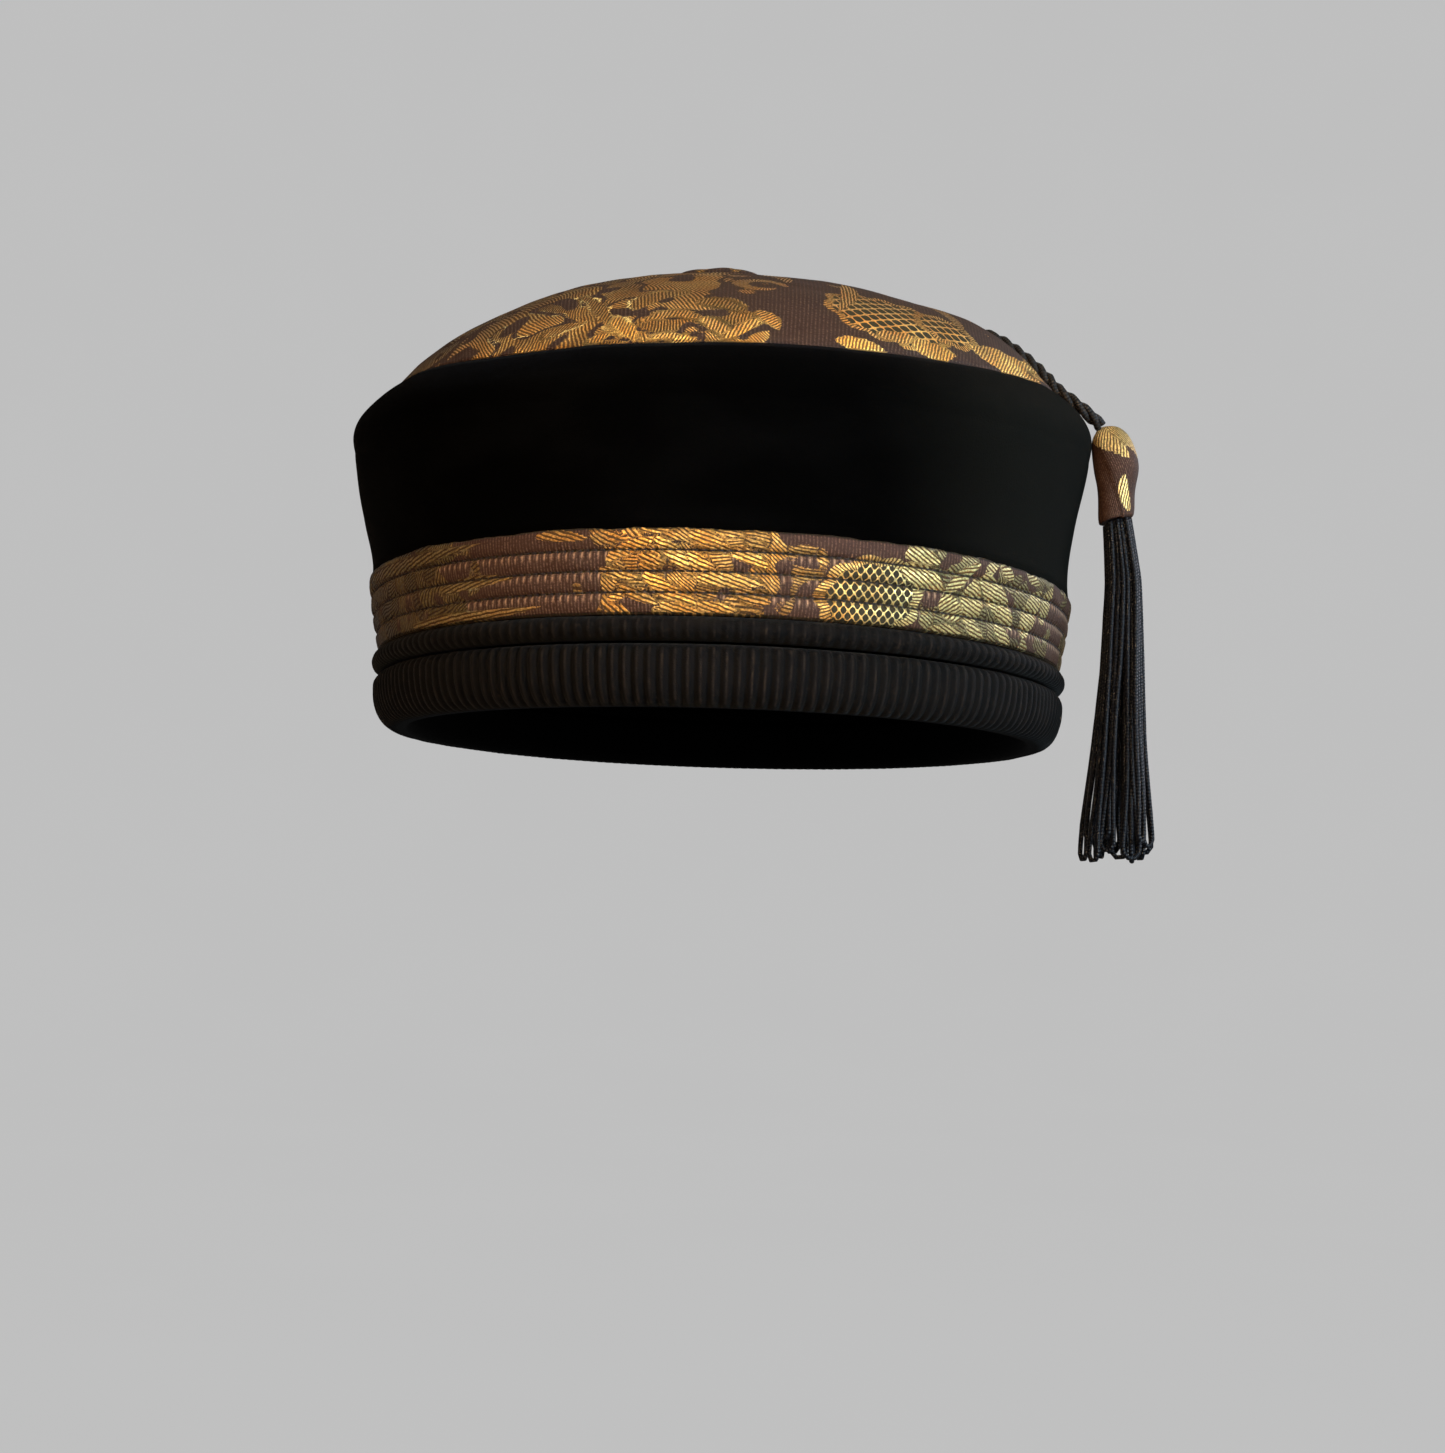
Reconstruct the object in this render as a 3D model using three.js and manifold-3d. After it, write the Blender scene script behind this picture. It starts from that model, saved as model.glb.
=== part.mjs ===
// Smoking cap: a domed brocade top with a covered button, a velvet side wall, a quilted brocade band, a ribbed
// cuff under a welt, and a tassel on a plaited cord. Millimetres, +Z up, front towards -Y, the wearer's left
// towards +X. The origin is the centre of the head opening, level with the cuff's lower edge.
import * as THREE from "three";
import { mergeVertices } from "three/addons/utils/BufferGeometryUtils.js";
import Module from "manifold-3d";

const GAP = 0.3; // between neighbouring pieces
const OVAL = 1.085; // the cap's size from front to back over its size from side to side
const SIDES = 56; // columns round the plain rings

// Radii are half widths from side to side. The oval stretches them front to back.
const HEAD_RADIUS = 86;
const CUFF = { height: 14.5, padding: 10.4, ribs: 205, ribDepth: 0.6, innerColumns: 41 };
const WELT = { height: 5.8, depth: 7.2, inset: 2.9 };
const BAND = { height: 19.2, flare: 3.3, channels: 4, puff: 0.8, thick: 2.4, inset: 1.3 };
const WALL = { thick: 2, tuck: 7, rise: 38.7, swell: 4.8 };
const SHOULDER = { rise: 18, inset: 9.2, reach: 16, inward: 0.83, upward: 0.56 };
const TOP = { thick: 2, rise: 36, reach: 23, inward: 0.61, upward: 0.79, crest: 50 };

// The cuff's outside from its upper edge down, and its inside back up: how far out of the padding and how far up
// the cuff each row lies, and how much of the ribs' depth its grooves have.
const CUFF_OUTSIDE = [
  { out: 0.87, up: 0.96, groove: 0.5 },
  { out: 1.0, up: 0.73, groove: 1 },
  { out: 0.93, up: 0.36, groove: 1 },
  { out: 0.7, up: 0.1, groove: 1 },
  { out: 0.38, up: 0, groove: 0.3 },
];
const CUFF_INSIDE = [
  { out: 0.1, up: 0.03 },
  { out: 0, up: 0.2 },
  { out: 0.13, up: 1 },
  { out: 0.63, up: 1 },
];

// The soft upper part sits askew on the level band: higher at the back, a little lower on the tassel's side.
const SETTLE = { backRise: 0.1085, leftDrop: 0.0183, shift: -1.05 };
// Where the soft upper part swells or sinks: the place round the cap in degrees from +X towards +Y, how far round
// it reaches, and as shares of the largest lift, how much the shoulder lifts, pushes out, the wall below pushes out,
// and the top's slope above the seam lifts.
const LARGEST_LIFT = 2.6;
const SWELLS = [
  { at: 4, reach: 26, lift: 1, push: 0.5, waist: -0.12, slope: 0.9 },
  { at: 206, reach: 18, lift: -0.58, push: 0, waist: 0.46, slope: 0 },
  { at: 255, reach: 20, lift: -0.31, push: -0.23, waist: -0.19, slope: 0 },
];
const PUCKERS = { count: 9, depth: 1.1, radius: 30 }; // folds drawn in round the button

const BUTTON = { radius: 16.5, height: 5.2, rim: 2.0, sink: 0.9, left: -2.6 };

const CORD = { radius: 1.9, sides: 8, steps: 42 };
// The cord leaves the button's edge, lies over the top and the shoulder, and comes down to the tassel's head.
const CORD_ROUTE = [
  [13.9, 2.0, 134.4],
  [26.4, 6.9, 133.1],
  [40.4, 12.9, 131.1],
  [54.6, 17.4, 127.7],
  [67.1, 18.9, 124.1],
  [75.9, 17.8, 120.1],
  [83.2, 15.3, 114.1],
  [89.4, 12.8, 107.6],
  [94.2, 10.0, 101.6],
  [98.2, 9.2, 98.1],
  [101.0, 9.2, 95.7],
  [103.0, 10.1, 94.0],
  [104.5, 11.6, 92.8],
  [105.6, 13.2, 91.9],
];

const TASSEL = { aboveBulge: 12.5, height: 24.8, radius: 6.1, clear: 0.7, round: 0.145, slant: 1.6, lean: 1.7 };
const SKIRT = { length: 98, radius: 11.2, aside: 2.4, locks: 9, sides: 6, steps: 5 };
// How the skirt spreads: the share of its length below the head, and as shares of its radius and of its swing
// aside, its radius there and how far its middle lies outwards of the head's.
const SKIRT_SPREAD = [
  { down: 0.0, radius: 0.37, aside: 0.25 },
  { down: 0.2, radius: 0.48, aside: 1 },
  { down: 0.45, radius: 0.59, aside: 0.92 },
  { down: 0.7, radius: 0.77, aside: 0.58 },
  { down: 0.9, radius: 0.96, aside: 0.38 },
  { down: 1.0, radius: 1, aside: 0.38 },
];

// Heights and radii that follow from the sizes above, from the cuff up.
const cuffRadius = HEAD_RADIUS + CUFF.padding;
const weltBottom = CUFF.height + GAP * 1.3;
const bandBottom = weltBottom + WELT.height + GAP;
const bandTop = bandBottom + BAND.height;
const bandLowRadius = cuffRadius - BAND.inset;
const bandHighRadius = bandLowRadius + BAND.flare;
const bulgeHeight = bandTop + WALL.rise;
const bulgeRadius = bandHighRadius + WALL.swell;
const seamHeight = bulgeHeight + SHOULDER.rise;
const seamRadius = bulgeRadius - SHOULDER.inset;
const topHeight = seamHeight + TOP.rise;
const tasselX = bulgeRadius + TASSEL.clear + TASSEL.radius;
const headTop = bulgeHeight + TASSEL.aboveBulge;
const headBottom = headTop - TASSEL.height;
const skirtBottom = headBottom - SKIRT.length;

const wasm = await Module();
wasm.setup();

const at = (radius, height) => new THREE.Vector2(radius, height);

/** The points of a cubic curve from one point to another, pulled by a handle at each end. */
function bend(from, fromHandle, toHandle, to, steps) {
  return new THREE.CubicBezierCurve(from, fromHandle, toHandle, to).getPoints(steps);
}

/** A closed wall: the outer line going up, and a guide along it moved inwards by the wall's thickness. */
function wallProfile(outer, guide, thickness) {
  const inner = guide.map((point, index) => {
    const before = guide[Math.max(index - 1, 0)];
    const after = guide[Math.min(index + 1, guide.length - 1)];
    const along = after.clone().sub(before).normalize();
    return at(Math.max(point.x - along.y * thickness, 0), point.y + along.x * thickness);
  });
  return [...inner.reverse(), ...outer];
}

/** Turns a closed profile round the cap's axis and stretches the ring to the head's oval. */
function ring(profile, sides = SIDES) {
  const geometry = new THREE.LatheGeometry(profile, sides);
  geometry.rotateX(Math.PI / 2);
  geometry.scale(1, OVAL, 1);
  return geometry;
}

/** Moves every vertex of a geometry with a function that changes the vector it is given. */
function reshape(geometry, move) {
  const positions = geometry.attributes.position;
  const point = new THREE.Vector3();
  for (let i = 0; i < positions.count; i++) {
    point.fromBufferAttribute(positions, i);
    move(point);
    positions.setXYZ(i, point.x, point.y, point.z);
  }
  geometry.computeVertexNormals();
  return geometry;
}

/** 0 below the first value, 1 above the second, and smooth between. */
const ramp = (value, from, to) => THREE.MathUtils.smoothstep(value, from, to);

/** How strongly a swell is felt at an azimuth in degrees. */
function swellShare(azimuth, swell) {
  const away = Math.abs(((azimuth - swell.at + 540) % 360) - 180);
  return Math.exp(-((away / swell.reach) ** 2));
}

/** Settles a point of the soft upper part: askew on the band, swollen at the shoulder, drawn in at the button. */
function settle(point) {
  const up = (point.z - bandTop) / (seamHeight - bandTop); // 0 at the band's top, 1 at the seam
  const radius = Math.hypot(point.x, point.y / OVAL);
  const azimuth = THREE.MathUtils.radToDeg(Math.atan2(point.y / OVAL, point.x)) + 360;
  const edge = ramp(radius / seamRadius, 0.27, 0.96) * ramp(up, 0.35, 0.97);
  const waist = ramp(up, 0.02, 0.31) * (1 - ramp(up, 0.38, 0.7));
  const slope = ramp(up, 1.01, 1.3) * (1 - ramp(up, 1.32, 1.52));
  let out = 1;
  let lift = 0;
  for (const swell of SWELLS) {
    const felt = LARGEST_LIFT * swellShare(azimuth, swell);
    lift += felt * (edge * swell.lift + slope * swell.slope);
    out += (felt * (edge * swell.push + waist * swell.waist)) / bulgeRadius;
  }
  const fold = (1 - Math.cos((PUCKERS.count * azimuth * Math.PI) / 180)) / 2;
  const nearButton = ramp(radius / BUTTON.radius, 0.25, 1) * Math.exp(-((radius / PUCKERS.radius) ** 2));
  const share = THREE.MathUtils.clamp(up / 0.88, 0, 1);
  point.z += lift - PUCKERS.depth * fold * nearButton * ramp(up, 0.9, 1.4);
  point.z += share * (SETTLE.backRise * point.y - SETTLE.leftDrop * point.x);
  point.x = point.x * out + share * SETTLE.shift;
  point.y *= out;
}

/** Joins two rings of points whose counts are equal, or the first a multiple of the second. */
function bridge(faces, first, second) {
  const times = first.length / second.length;
  for (let i = 0; i < first.length; i++) {
    const next = (i + 1) % first.length;
    const below = Math.floor(i / times);
    const belowNext = (below + 1) % second.length;
    faces.push(first[i], first[next], second[below]);
    if ((i + 1) % times === 0) faces.push(first[next], second[belowNext], second[below]);
  }
}

/** Adds a row of the cuff to the points, with every second column sunk by its groove, and gives its indices. */
function cuffRow(points, columns, { out, up, groove = 0 }) {
  const row = [];
  for (let i = 0; i < columns; i++) {
    const angle = (2 * Math.PI * i) / columns;
    const reach = HEAD_RADIUS + out * CUFF.padding - (i % 2 ? groove * CUFF.ribDepth : 0);
    row.push(points.length / 3);
    points.push(reach * Math.cos(angle), OVAL * reach * Math.sin(angle), up * CUFF.height);
  }
  return row;
}

/** The cuff: a padded roll of ribbed cloth, the ribs outside, turned under to the head opening. */
function cuffGeometry() {
  const points = [];
  const outside = CUFF_OUTSIDE.map((row) => cuffRow(points, CUFF.ribs * 2, row));
  const inside = CUFF_INSIDE.map((row) => cuffRow(points, CUFF.innerColumns, row));
  const faces = [];
  for (let i = 1; i < outside.length; i++) bridge(faces, outside[i], outside[i - 1]);
  const inwards = [];
  bridge(inwards, outside.at(-1), inside[0]);
  for (let i = 1; i < inside.length; i++) bridge(inwards, inside[i - 1], inside[i]);
  for (let i = 0; i < inwards.length; i += 3) faces.push(inwards[i + 1], inwards[i], inwards[i + 2]);
  bridge(faces, outside[0], inside.at(-1));
  const geometry = new THREE.BufferGeometry();
  geometry.setAttribute("position", new THREE.Float32BufferAttribute(points, 3));
  geometry.setIndex(faces);
  geometry.computeVertexNormals();
  return geometry;
}

/** The welt: an oval roll between the cuff and the band. */
function weltGeometry() {
  const middle = at(cuffRadius - WELT.inset, weltBottom + WELT.height / 2);
  const outline = new THREE.EllipseCurve(middle.x, middle.y, WELT.depth / 2, WELT.height / 2, 0, 2 * Math.PI);
  const points = outline.getPoints(7);
  points[points.length - 1].copy(points[0]);
  return ring(points);
}

/** The band: a padded strip stitched along into channels, flat on its inner side. */
function bandGeometry() {
  const rows = BAND.channels * 2;
  const outer = [];
  for (let i = 0; i <= rows; i++) {
    const share = i / rows;
    const radius = THREE.MathUtils.lerp(bandLowRadius, bandHighRadius, share) + (i % 2 ? BAND.puff : 0);
    outer.push(at(radius, THREE.MathUtils.lerp(bandBottom, bandTop, share)));
  }
  const innerTop = at(bandHighRadius - BAND.thick, bandTop);
  const innerBottom = at(bandLowRadius - BAND.thick, bandBottom);
  return ring([innerTop, innerBottom, ...outer, innerTop.clone()]);
}

/** The velvet wall: tucked behind the band, swelling out, and rolled in over the shoulder to the seam. */
function velvetGeometry() {
  const behindBand = (height) => {
    const share = (height - bandBottom) / BAND.height;
    return at(THREE.MathUtils.lerp(bandLowRadius, bandHighRadius, share) - BAND.thick - 2 * GAP, height);
  };
  const foot = at(bandHighRadius - 2 * GAP, bandTop + WALL.thick);
  const bulge = at(bulgeRadius, bulgeHeight);
  const seam = at(seamRadius, seamHeight);
  const arrival = at(seam.x + SHOULDER.reach * SHOULDER.inward, seam.y - SHOULDER.reach * SHOULDER.upward);
  const tuck = [behindBand(bandTop - WALL.tuck), behindBand(bandTop)];
  const footHandle = at(foot.x - 1, foot.y + WALL.rise / 4);
  const bulgeHandle = at(bulge.x, bulge.y - WALL.rise / 8);
  const side = (steps) => bend(foot, footHandle, bulgeHandle, bulge, steps);
  const shoulder = (steps) => bend(bulge, at(bulge.x, bulge.y + SHOULDER.rise / 6), arrival, seam, steps).slice(1);
  const outer = [...tuck, ...side(4), ...shoulder(4)];
  const guide = [...tuck, ...side(2), ...shoulder(2)];
  const profile = wallProfile(outer, guide, WALL.thick);
  return reshape(ring([...profile, profile[0].clone()]), settle);
}

/** The top: a brocade dome from the seam to the middle, open underneath. */
function topGeometry() {
  const start = at(seamRadius - GAP * 1.2, seamHeight + GAP * 1.2);
  const leave = at(start.x - TOP.reach * TOP.inward, start.y + TOP.reach * TOP.upward);
  const line = (steps) => bend(start, leave, at(TOP.crest, topHeight), at(0, topHeight), steps);
  return reshape(ring(wallProfile(line(6), line(4), TOP.thick)), settle);
}

/** The covered button on the middle of the top. */
function buttonGeometry() {
  const base = topHeight + GAP * 1.5;
  const { radius, height, rim, sink } = BUTTON;
  const profile = [
    at(0, base),
    at(radius * 0.94, base - sink),
    at(radius, base - sink + rim),
    at(radius * 0.93, base + height * 0.52),
    at(radius * 0.68, base + height * 0.85),
    at(radius * 0.36, base + height * 0.98),
    at(0, base + height),
  ];
  const geometry = new THREE.LatheGeometry(profile, 24);
  geometry.rotateX(Math.PI / 2);
  return reshape(geometry, (point) => {
    point.x += BUTTON.left;
    point.z += SETTLE.backRise * point.y - SETTLE.leftDrop * point.x;
    point.x += SETTLE.shift;
  });
}

/** A round section with the given number of sides. */
function roundSection(radius, sides) {
  const corners = Array.from({ length: sides }, (_, i) => {
    const angle = (2 * Math.PI * i) / sides;
    return at(radius * Math.cos(angle), radius * Math.sin(angle));
  });
  return new THREE.Shape(corners);
}

/** The cord: a round tube along its route. */
function cordGeometry() {
  const route = new THREE.CatmullRomCurve3(CORD_ROUTE.map((point) => new THREE.Vector3(...point)));
  const section = roundSection(CORD.radius, CORD.sides);
  return new THREE.ExtrudeGeometry(section, { steps: CORD.steps, extrudePath: route });
}

/** Tilts the lower end of the tassel's head, which is cut on a slant. */
function slantAt(point, share) {
  point.z -= (share * TASSEL.slant * (TASSEL.radius - point.x)) / TASSEL.radius;
}

/** The tassel's head: cloth wrapped round the strands, full at the top and drawn in below. */
function headGeometry() {
  const { radius, height } = TASSEL;
  const profile = [
    at(0, headBottom),
    at(radius * 0.72, headBottom),
    at(radius * 0.82, headBottom + height * 0.25),
    at(radius, headBottom + height * 0.54),
    at(radius * 0.97, headBottom + height * 0.77),
    at(radius * 0.76, headBottom + height * 0.92),
    at(radius * 0.43, headTop),
    at(0, headTop),
  ];
  const geometry = new THREE.LatheGeometry(profile, 16);
  geometry.rotateX(Math.PI / 2);
  return reshape(geometry, (point) => {
    slantAt(point, 1 - ramp(point.z, headBottom, headBottom + height * 0.4));
    point.x -= TASSEL.lean * ramp(point.z, headTop - height * 0.5, headTop);
  });
}

/** A geometry as a closed solid that can be joined to another. */
function solidOf(geometry) {
  const bare = geometry.clone();
  bare.deleteAttribute("normal");
  bare.deleteAttribute("uv");
  const merged = mergeVertices(bare, 1e-4);
  const vertProperties = merged.attributes.position.array;
  const triVerts = new Uint32Array(merged.index.array);
  return new wasm.Manifold(new wasm.Mesh({ numProp: 3, vertProperties, triVerts }));
}

/** A joined solid back as a geometry. */
function geometryOf(solid) {
  const mesh = solid.getMesh();
  const geometry = new THREE.BufferGeometry();
  geometry.setAttribute("position", new THREE.BufferAttribute(mesh.vertProperties, 3));
  geometry.setIndex(new THREE.BufferAttribute(mesh.triVerts, 1));
  geometry.computeVertexNormals();
  return geometry;
}

/** The skirt's radius and sideways place at a share of its length, read between the rows of the spread. */
function spreadAt(down) {
  const next = Math.max(SKIRT_SPREAD.findIndex((row) => row.down >= down), 1);
  const [above, below] = [SKIRT_SPREAD[next - 1], SKIRT_SPREAD[next]];
  const between = (column) => THREE.MathUtils.mapLinear(down, above.down, below.down, above[column], below[column]);
  return { radius: SKIRT.radius * between("radius"), aside: SKIRT.aside * between("aside") };
}

/** One lock of the skirt: a strand bundle that runs down and out, thicker towards its end. */
function lockGeometry(index) {
  const turn = (2 * Math.PI * index) / SKIRT.locks;
  const top = headBottom - TASSEL.slant * 2 - SKIRT.length * 0.04;
  const lift = (SKIRT.length * 0.036 * ((index * 7) % 5)) / 4;
  const length = top - skirtBottom - lift;
  const points = SKIRT_SPREAD.map(({ down }) => {
    const { radius, aside } = spreadAt(down);
    const reach = radius * 0.66;
    const sway = turn + 0.25 * down * Math.sin(3 * index);
    return new THREE.Vector3(aside + reach * Math.cos(sway), reach * Math.sin(sway), top - down * length);
  });
  const axis = new THREE.CatmullRomCurve3(points);
  const section = roundSection(1, SKIRT.sides);
  const geometry = new THREE.ExtrudeGeometry(section, { steps: SKIRT.steps, extrudePath: axis });
  const centre = new THREE.Vector3();
  return reshape(geometry, (point) => {
    const down = THREE.MathUtils.clamp((top - point.z) / length, 0, 1);
    axis.getPointAt(down, centre);
    const thickness = Math.max(spreadAt(down).radius * 0.36, SKIRT.radius * 0.14);
    point.x = centre.x + (point.x - centre.x) * thickness;
    point.y = centre.y + (point.y - centre.y) * thickness;
  });
}

/** The skirt: locks joined to a core whose top meets the slanted end of the head. */
function skirtGeometry() {
  const top = headBottom - GAP;
  const bottom = skirtBottom + SKIRT.length * 0.16;
  const { radius, length } = SKIRT;
  const outline = [
    at(0, bottom),
    at(radius * 0.54, bottom + length * 0.02),
    at(radius * 0.4, top - length * 0.4),
    at(radius * 0.32, top - length * 0.08),
    at(radius * 0.36, top),
    at(0, top),
  ];
  const core = new THREE.LatheGeometry(outline, 12);
  core.rotateX(Math.PI / 2);
  reshape(core, (point) => {
    const down = THREE.MathUtils.clamp((top - point.z) / length, 0, 1);
    slantAt(point, ramp(point.z, top - length * 0.09, top - length * 0.01));
    point.x += spreadAt(down).aside;
  });
  let skirt = solidOf(core);
  for (let i = 0; i < SKIRT.locks; i++) skirt = skirt.add(solidOf(lockGeometry(i)));
  return geometryOf(skirt);
}

/** A cloth material by its colour and how it takes the light. */
const cloth = (color, roughness, metalness = 0) => new THREE.MeshStandardMaterial({ color, roughness, metalness });
const velvet = cloth(0x0b0b0c, 0.9);
const brocade = cloth(0x5a4420, 0.55, 0.15);
const corduroy = cloth(0x15110f, 0.85);
const plait = cloth(0x131217, 0.7);

const cap = new THREE.Group();

/** Adds a named mesh to a group. */
function place(group, name, geometry, material) {
  const mesh = new THREE.Mesh(geometry, material);
  mesh.name = name;
  group.add(mesh);
}

place(cap, "cuff", cuffGeometry(), corduroy);
place(cap, "cuff_welt", weltGeometry(), corduroy);
place(cap, "brocade_band", bandGeometry(), brocade);
place(cap, "velvet_wall", velvetGeometry(), velvet);
place(cap, "crown_top", topGeometry(), brocade);
place(cap, "crown_button", buttonGeometry(), brocade);
place(cap, "tassel_cord", cordGeometry(), plait);

const tassel = new THREE.Group();
tassel.position.set(tasselX, tasselX * TASSEL.round, 0);
place(tassel, "tassel_head", headGeometry(), brocade);
place(tassel, "tassel_skirt", skirtGeometry(), plait);
cap.add(tassel);

export default cap;
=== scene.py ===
"""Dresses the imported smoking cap: brocade, velvet, ribbed cloth, a twisted cord and its tassel.

Lengths in the classes are millimetres in the cap's own frame: +Z up, front towards -Y, the tassel towards +X.
Meshes are shaped in millimetres and scaled to metres when they become pieces.
"""

import logging
import math
import random
from dataclasses import dataclass, field
from enum import Enum
from typing import Callable, Iterable, Optional, Sequence

import bmesh
import bpy
import numpy as np
from bmesh.types import BMEdge, BMesh, BMVert
from mathutils import Matrix, Vector
from mathutils.noise import noise as smooth_noise


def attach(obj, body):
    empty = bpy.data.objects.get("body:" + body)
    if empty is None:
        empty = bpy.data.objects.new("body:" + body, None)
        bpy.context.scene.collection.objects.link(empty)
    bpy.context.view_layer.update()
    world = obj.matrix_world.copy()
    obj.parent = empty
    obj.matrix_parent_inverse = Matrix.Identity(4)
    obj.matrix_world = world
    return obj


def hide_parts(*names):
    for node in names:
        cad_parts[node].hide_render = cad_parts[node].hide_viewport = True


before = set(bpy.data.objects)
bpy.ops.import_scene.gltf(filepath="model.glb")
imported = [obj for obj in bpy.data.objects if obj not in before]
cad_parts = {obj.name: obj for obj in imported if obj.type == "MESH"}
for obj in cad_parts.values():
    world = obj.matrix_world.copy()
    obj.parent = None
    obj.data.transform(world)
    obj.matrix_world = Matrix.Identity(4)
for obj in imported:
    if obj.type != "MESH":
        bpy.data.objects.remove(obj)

LOG = logging.getLogger("smoking_cap")
MM = 0.001
TURN = 2 * math.pi
ROOT = "root"
ON_AXIS = 1e-6
MOST_STEPS = 50
MERGE = 1e-3
FAR_OUTSIDE = 6.0
NET_MARGIN = 0.4
LEAF_MARGIN = 0.22
OUTLINE_LIMIT = 4

Array = np.ndarray
Material = bpy.types.Material
Mesh = bpy.types.Mesh
Piece = bpy.types.Object
Socket = bpy.types.NodeSocket
Maker = Callable[[Array, Array], Array]
Triple = tuple[float, float, float]
Colour = tuple[float, float, float, float]


class Slot(Enum):
    """The record's material slots."""

    BROCADE = "brocade"
    VELVET = "velvet"
    RIBBED = "ribbed_cloth"
    CORD = "tassel_cord"
    YARN = "tassel_yarn"


@dataclass(frozen=True)
class Swell:
    """A place where the soft upper part swells or sinks, in degrees and in shares of the largest lift."""

    at: float
    reach: float
    lift: float
    push: float
    waist: float
    slope: float = 0.0


@dataclass(frozen=True)
class CapForm:
    """The sizes that the pieces share, and how the soft upper part settles on the band."""

    oval: float = 1.085
    head_radius: float = 86.0
    cuff_height: float = 14.5
    cuff_padding: float = 10.4
    ribs: int = 205
    welt_height: float = 5.8
    band_height: float = 19.2
    band_flare: float = 3.3
    band_inset: float = 1.3
    band_thick: float = 2.4
    gap: float = 0.3
    wall_rise: float = 38.7
    wall_swell: float = 4.8
    shoulder_rise: float = 18.0
    shoulder_inset: float = 9.2
    top_rise: float = 36.0
    largest_lift: float = 2.6
    back_rise: float = 0.1085
    left_drop: float = 0.0183
    shift: float = -1.05
    button_radius: float = 16.5
    pucker_count: int = 9
    pucker_depth: float = 1.1
    pucker_radius: float = 30.0
    swells: tuple[Swell, ...] = (
        Swell(4, 26, 1, 0.5, -0.12, 0.9),
        Swell(206, 18, -0.58, 0, 0.46),
        Swell(255, 20, -0.31, -0.23, -0.19),
    )

    @property
    def cuff_radius(self) -> float:
        """The cuff's widest radius."""
        return self.head_radius + self.cuff_padding

    @property
    def welt_bottom(self) -> float:
        """The welt's lower edge."""
        return self.cuff_height + self.gap * 1.3

    @property
    def band_bottom(self) -> float:
        """The band's lower edge."""
        return self.welt_bottom + self.welt_height + self.gap

    @property
    def band_top(self) -> float:
        """The band's upper edge."""
        return self.band_bottom + self.band_height

    @property
    def band_low(self) -> float:
        """The band's radius at its lower edge."""
        return self.cuff_radius - self.band_inset

    @property
    def band_high(self) -> float:
        """The band's radius at its upper edge."""
        return self.band_low + self.band_flare

    @property
    def bulge_height(self) -> float:
        """The height at which the velvet is widest."""
        return self.band_top + self.wall_rise

    @property
    def bulge_radius(self) -> float:
        """The velvet's widest radius."""
        return self.band_high + self.wall_swell

    @property
    def seam_height(self) -> float:
        """The height of the seam between velvet and top."""
        return self.bulge_height + self.shoulder_rise

    @property
    def seam_radius(self) -> float:
        """The radius of the seam between velvet and top."""
        return self.bulge_radius - self.shoulder_inset

    @property
    def top_height(self) -> float:
        """The top's middle before it settles."""
        return self.seam_height + self.top_rise

    def settle(self, points: Array) -> Array:
        """Moves points of the soft upper part as they sit on a head.

        Args:
            points: Rows of x, y and z, already stretched to the oval.

        Returns:
            The moved points.
        """
        x, y, z = points.T.copy()
        up = (z - self.band_top) / (self.seam_height - self.band_top)
        radius = np.hypot(x, y / self.oval)
        azimuth = np.degrees(np.arctan2(y / self.oval, x))
        edge = ramp(radius / self.seam_radius, 0.27, 0.96) * ramp(up, 0.35, 0.97)
        waist = ramp(up, 0.02, 0.31) * (1 - ramp(up, 0.38, 0.7))
        slope = ramp(up, 1.01, 1.3) * (1 - ramp(up, 1.32, 1.52))
        out = np.ones_like(x)
        lift = np.zeros_like(x)
        for swell in self.swells:
            away = np.abs((azimuth - swell.at + 900) % 360 - 180)
            felt = self.largest_lift * np.exp(-((away / swell.reach) ** 2))
            lift += felt * (edge * swell.lift + slope * swell.slope)
            out += felt * (edge * swell.push + waist * swell.waist) / self.bulge_radius
        fold = (1 - np.cos(np.radians(self.pucker_count * azimuth))) / 2
        near = ramp(radius / self.button_radius, 0.25, 1) * np.exp(-((radius / self.pucker_radius) ** 2))
        share = np.clip(up / 0.88, 0, 1)
        z += lift - self.pucker_depth * fold * near * ramp(up, 0.9, 1.4)
        z += share * (self.back_rise * y - self.left_drop * x)
        return np.column_stack([x * out + share * self.shift, y * out, z])


FORM = CapForm()


def ramp(value: Array, low: float, high: float) -> Array:
    """0 below the first value, 1 above the second, and smooth between."""
    share = np.clip((np.asarray(value, dtype=float) - low) / (high - low), 0, 1)
    return share * share * (3 - 2 * share)


def cubic(start: Vector, leave: Vector, arrive: Vector, end: Vector, steps: int) -> list[Vector]:
    """The points of a cubic curve, its two ends among them."""
    points = []
    for i in range(steps + 1):
        t = i / steps
        s = 1 - t
        points.append(start * s**3 + leave * 3 * s * s * t + arrive * 3 * s * t * t + end * t**3)
    return points


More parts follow.
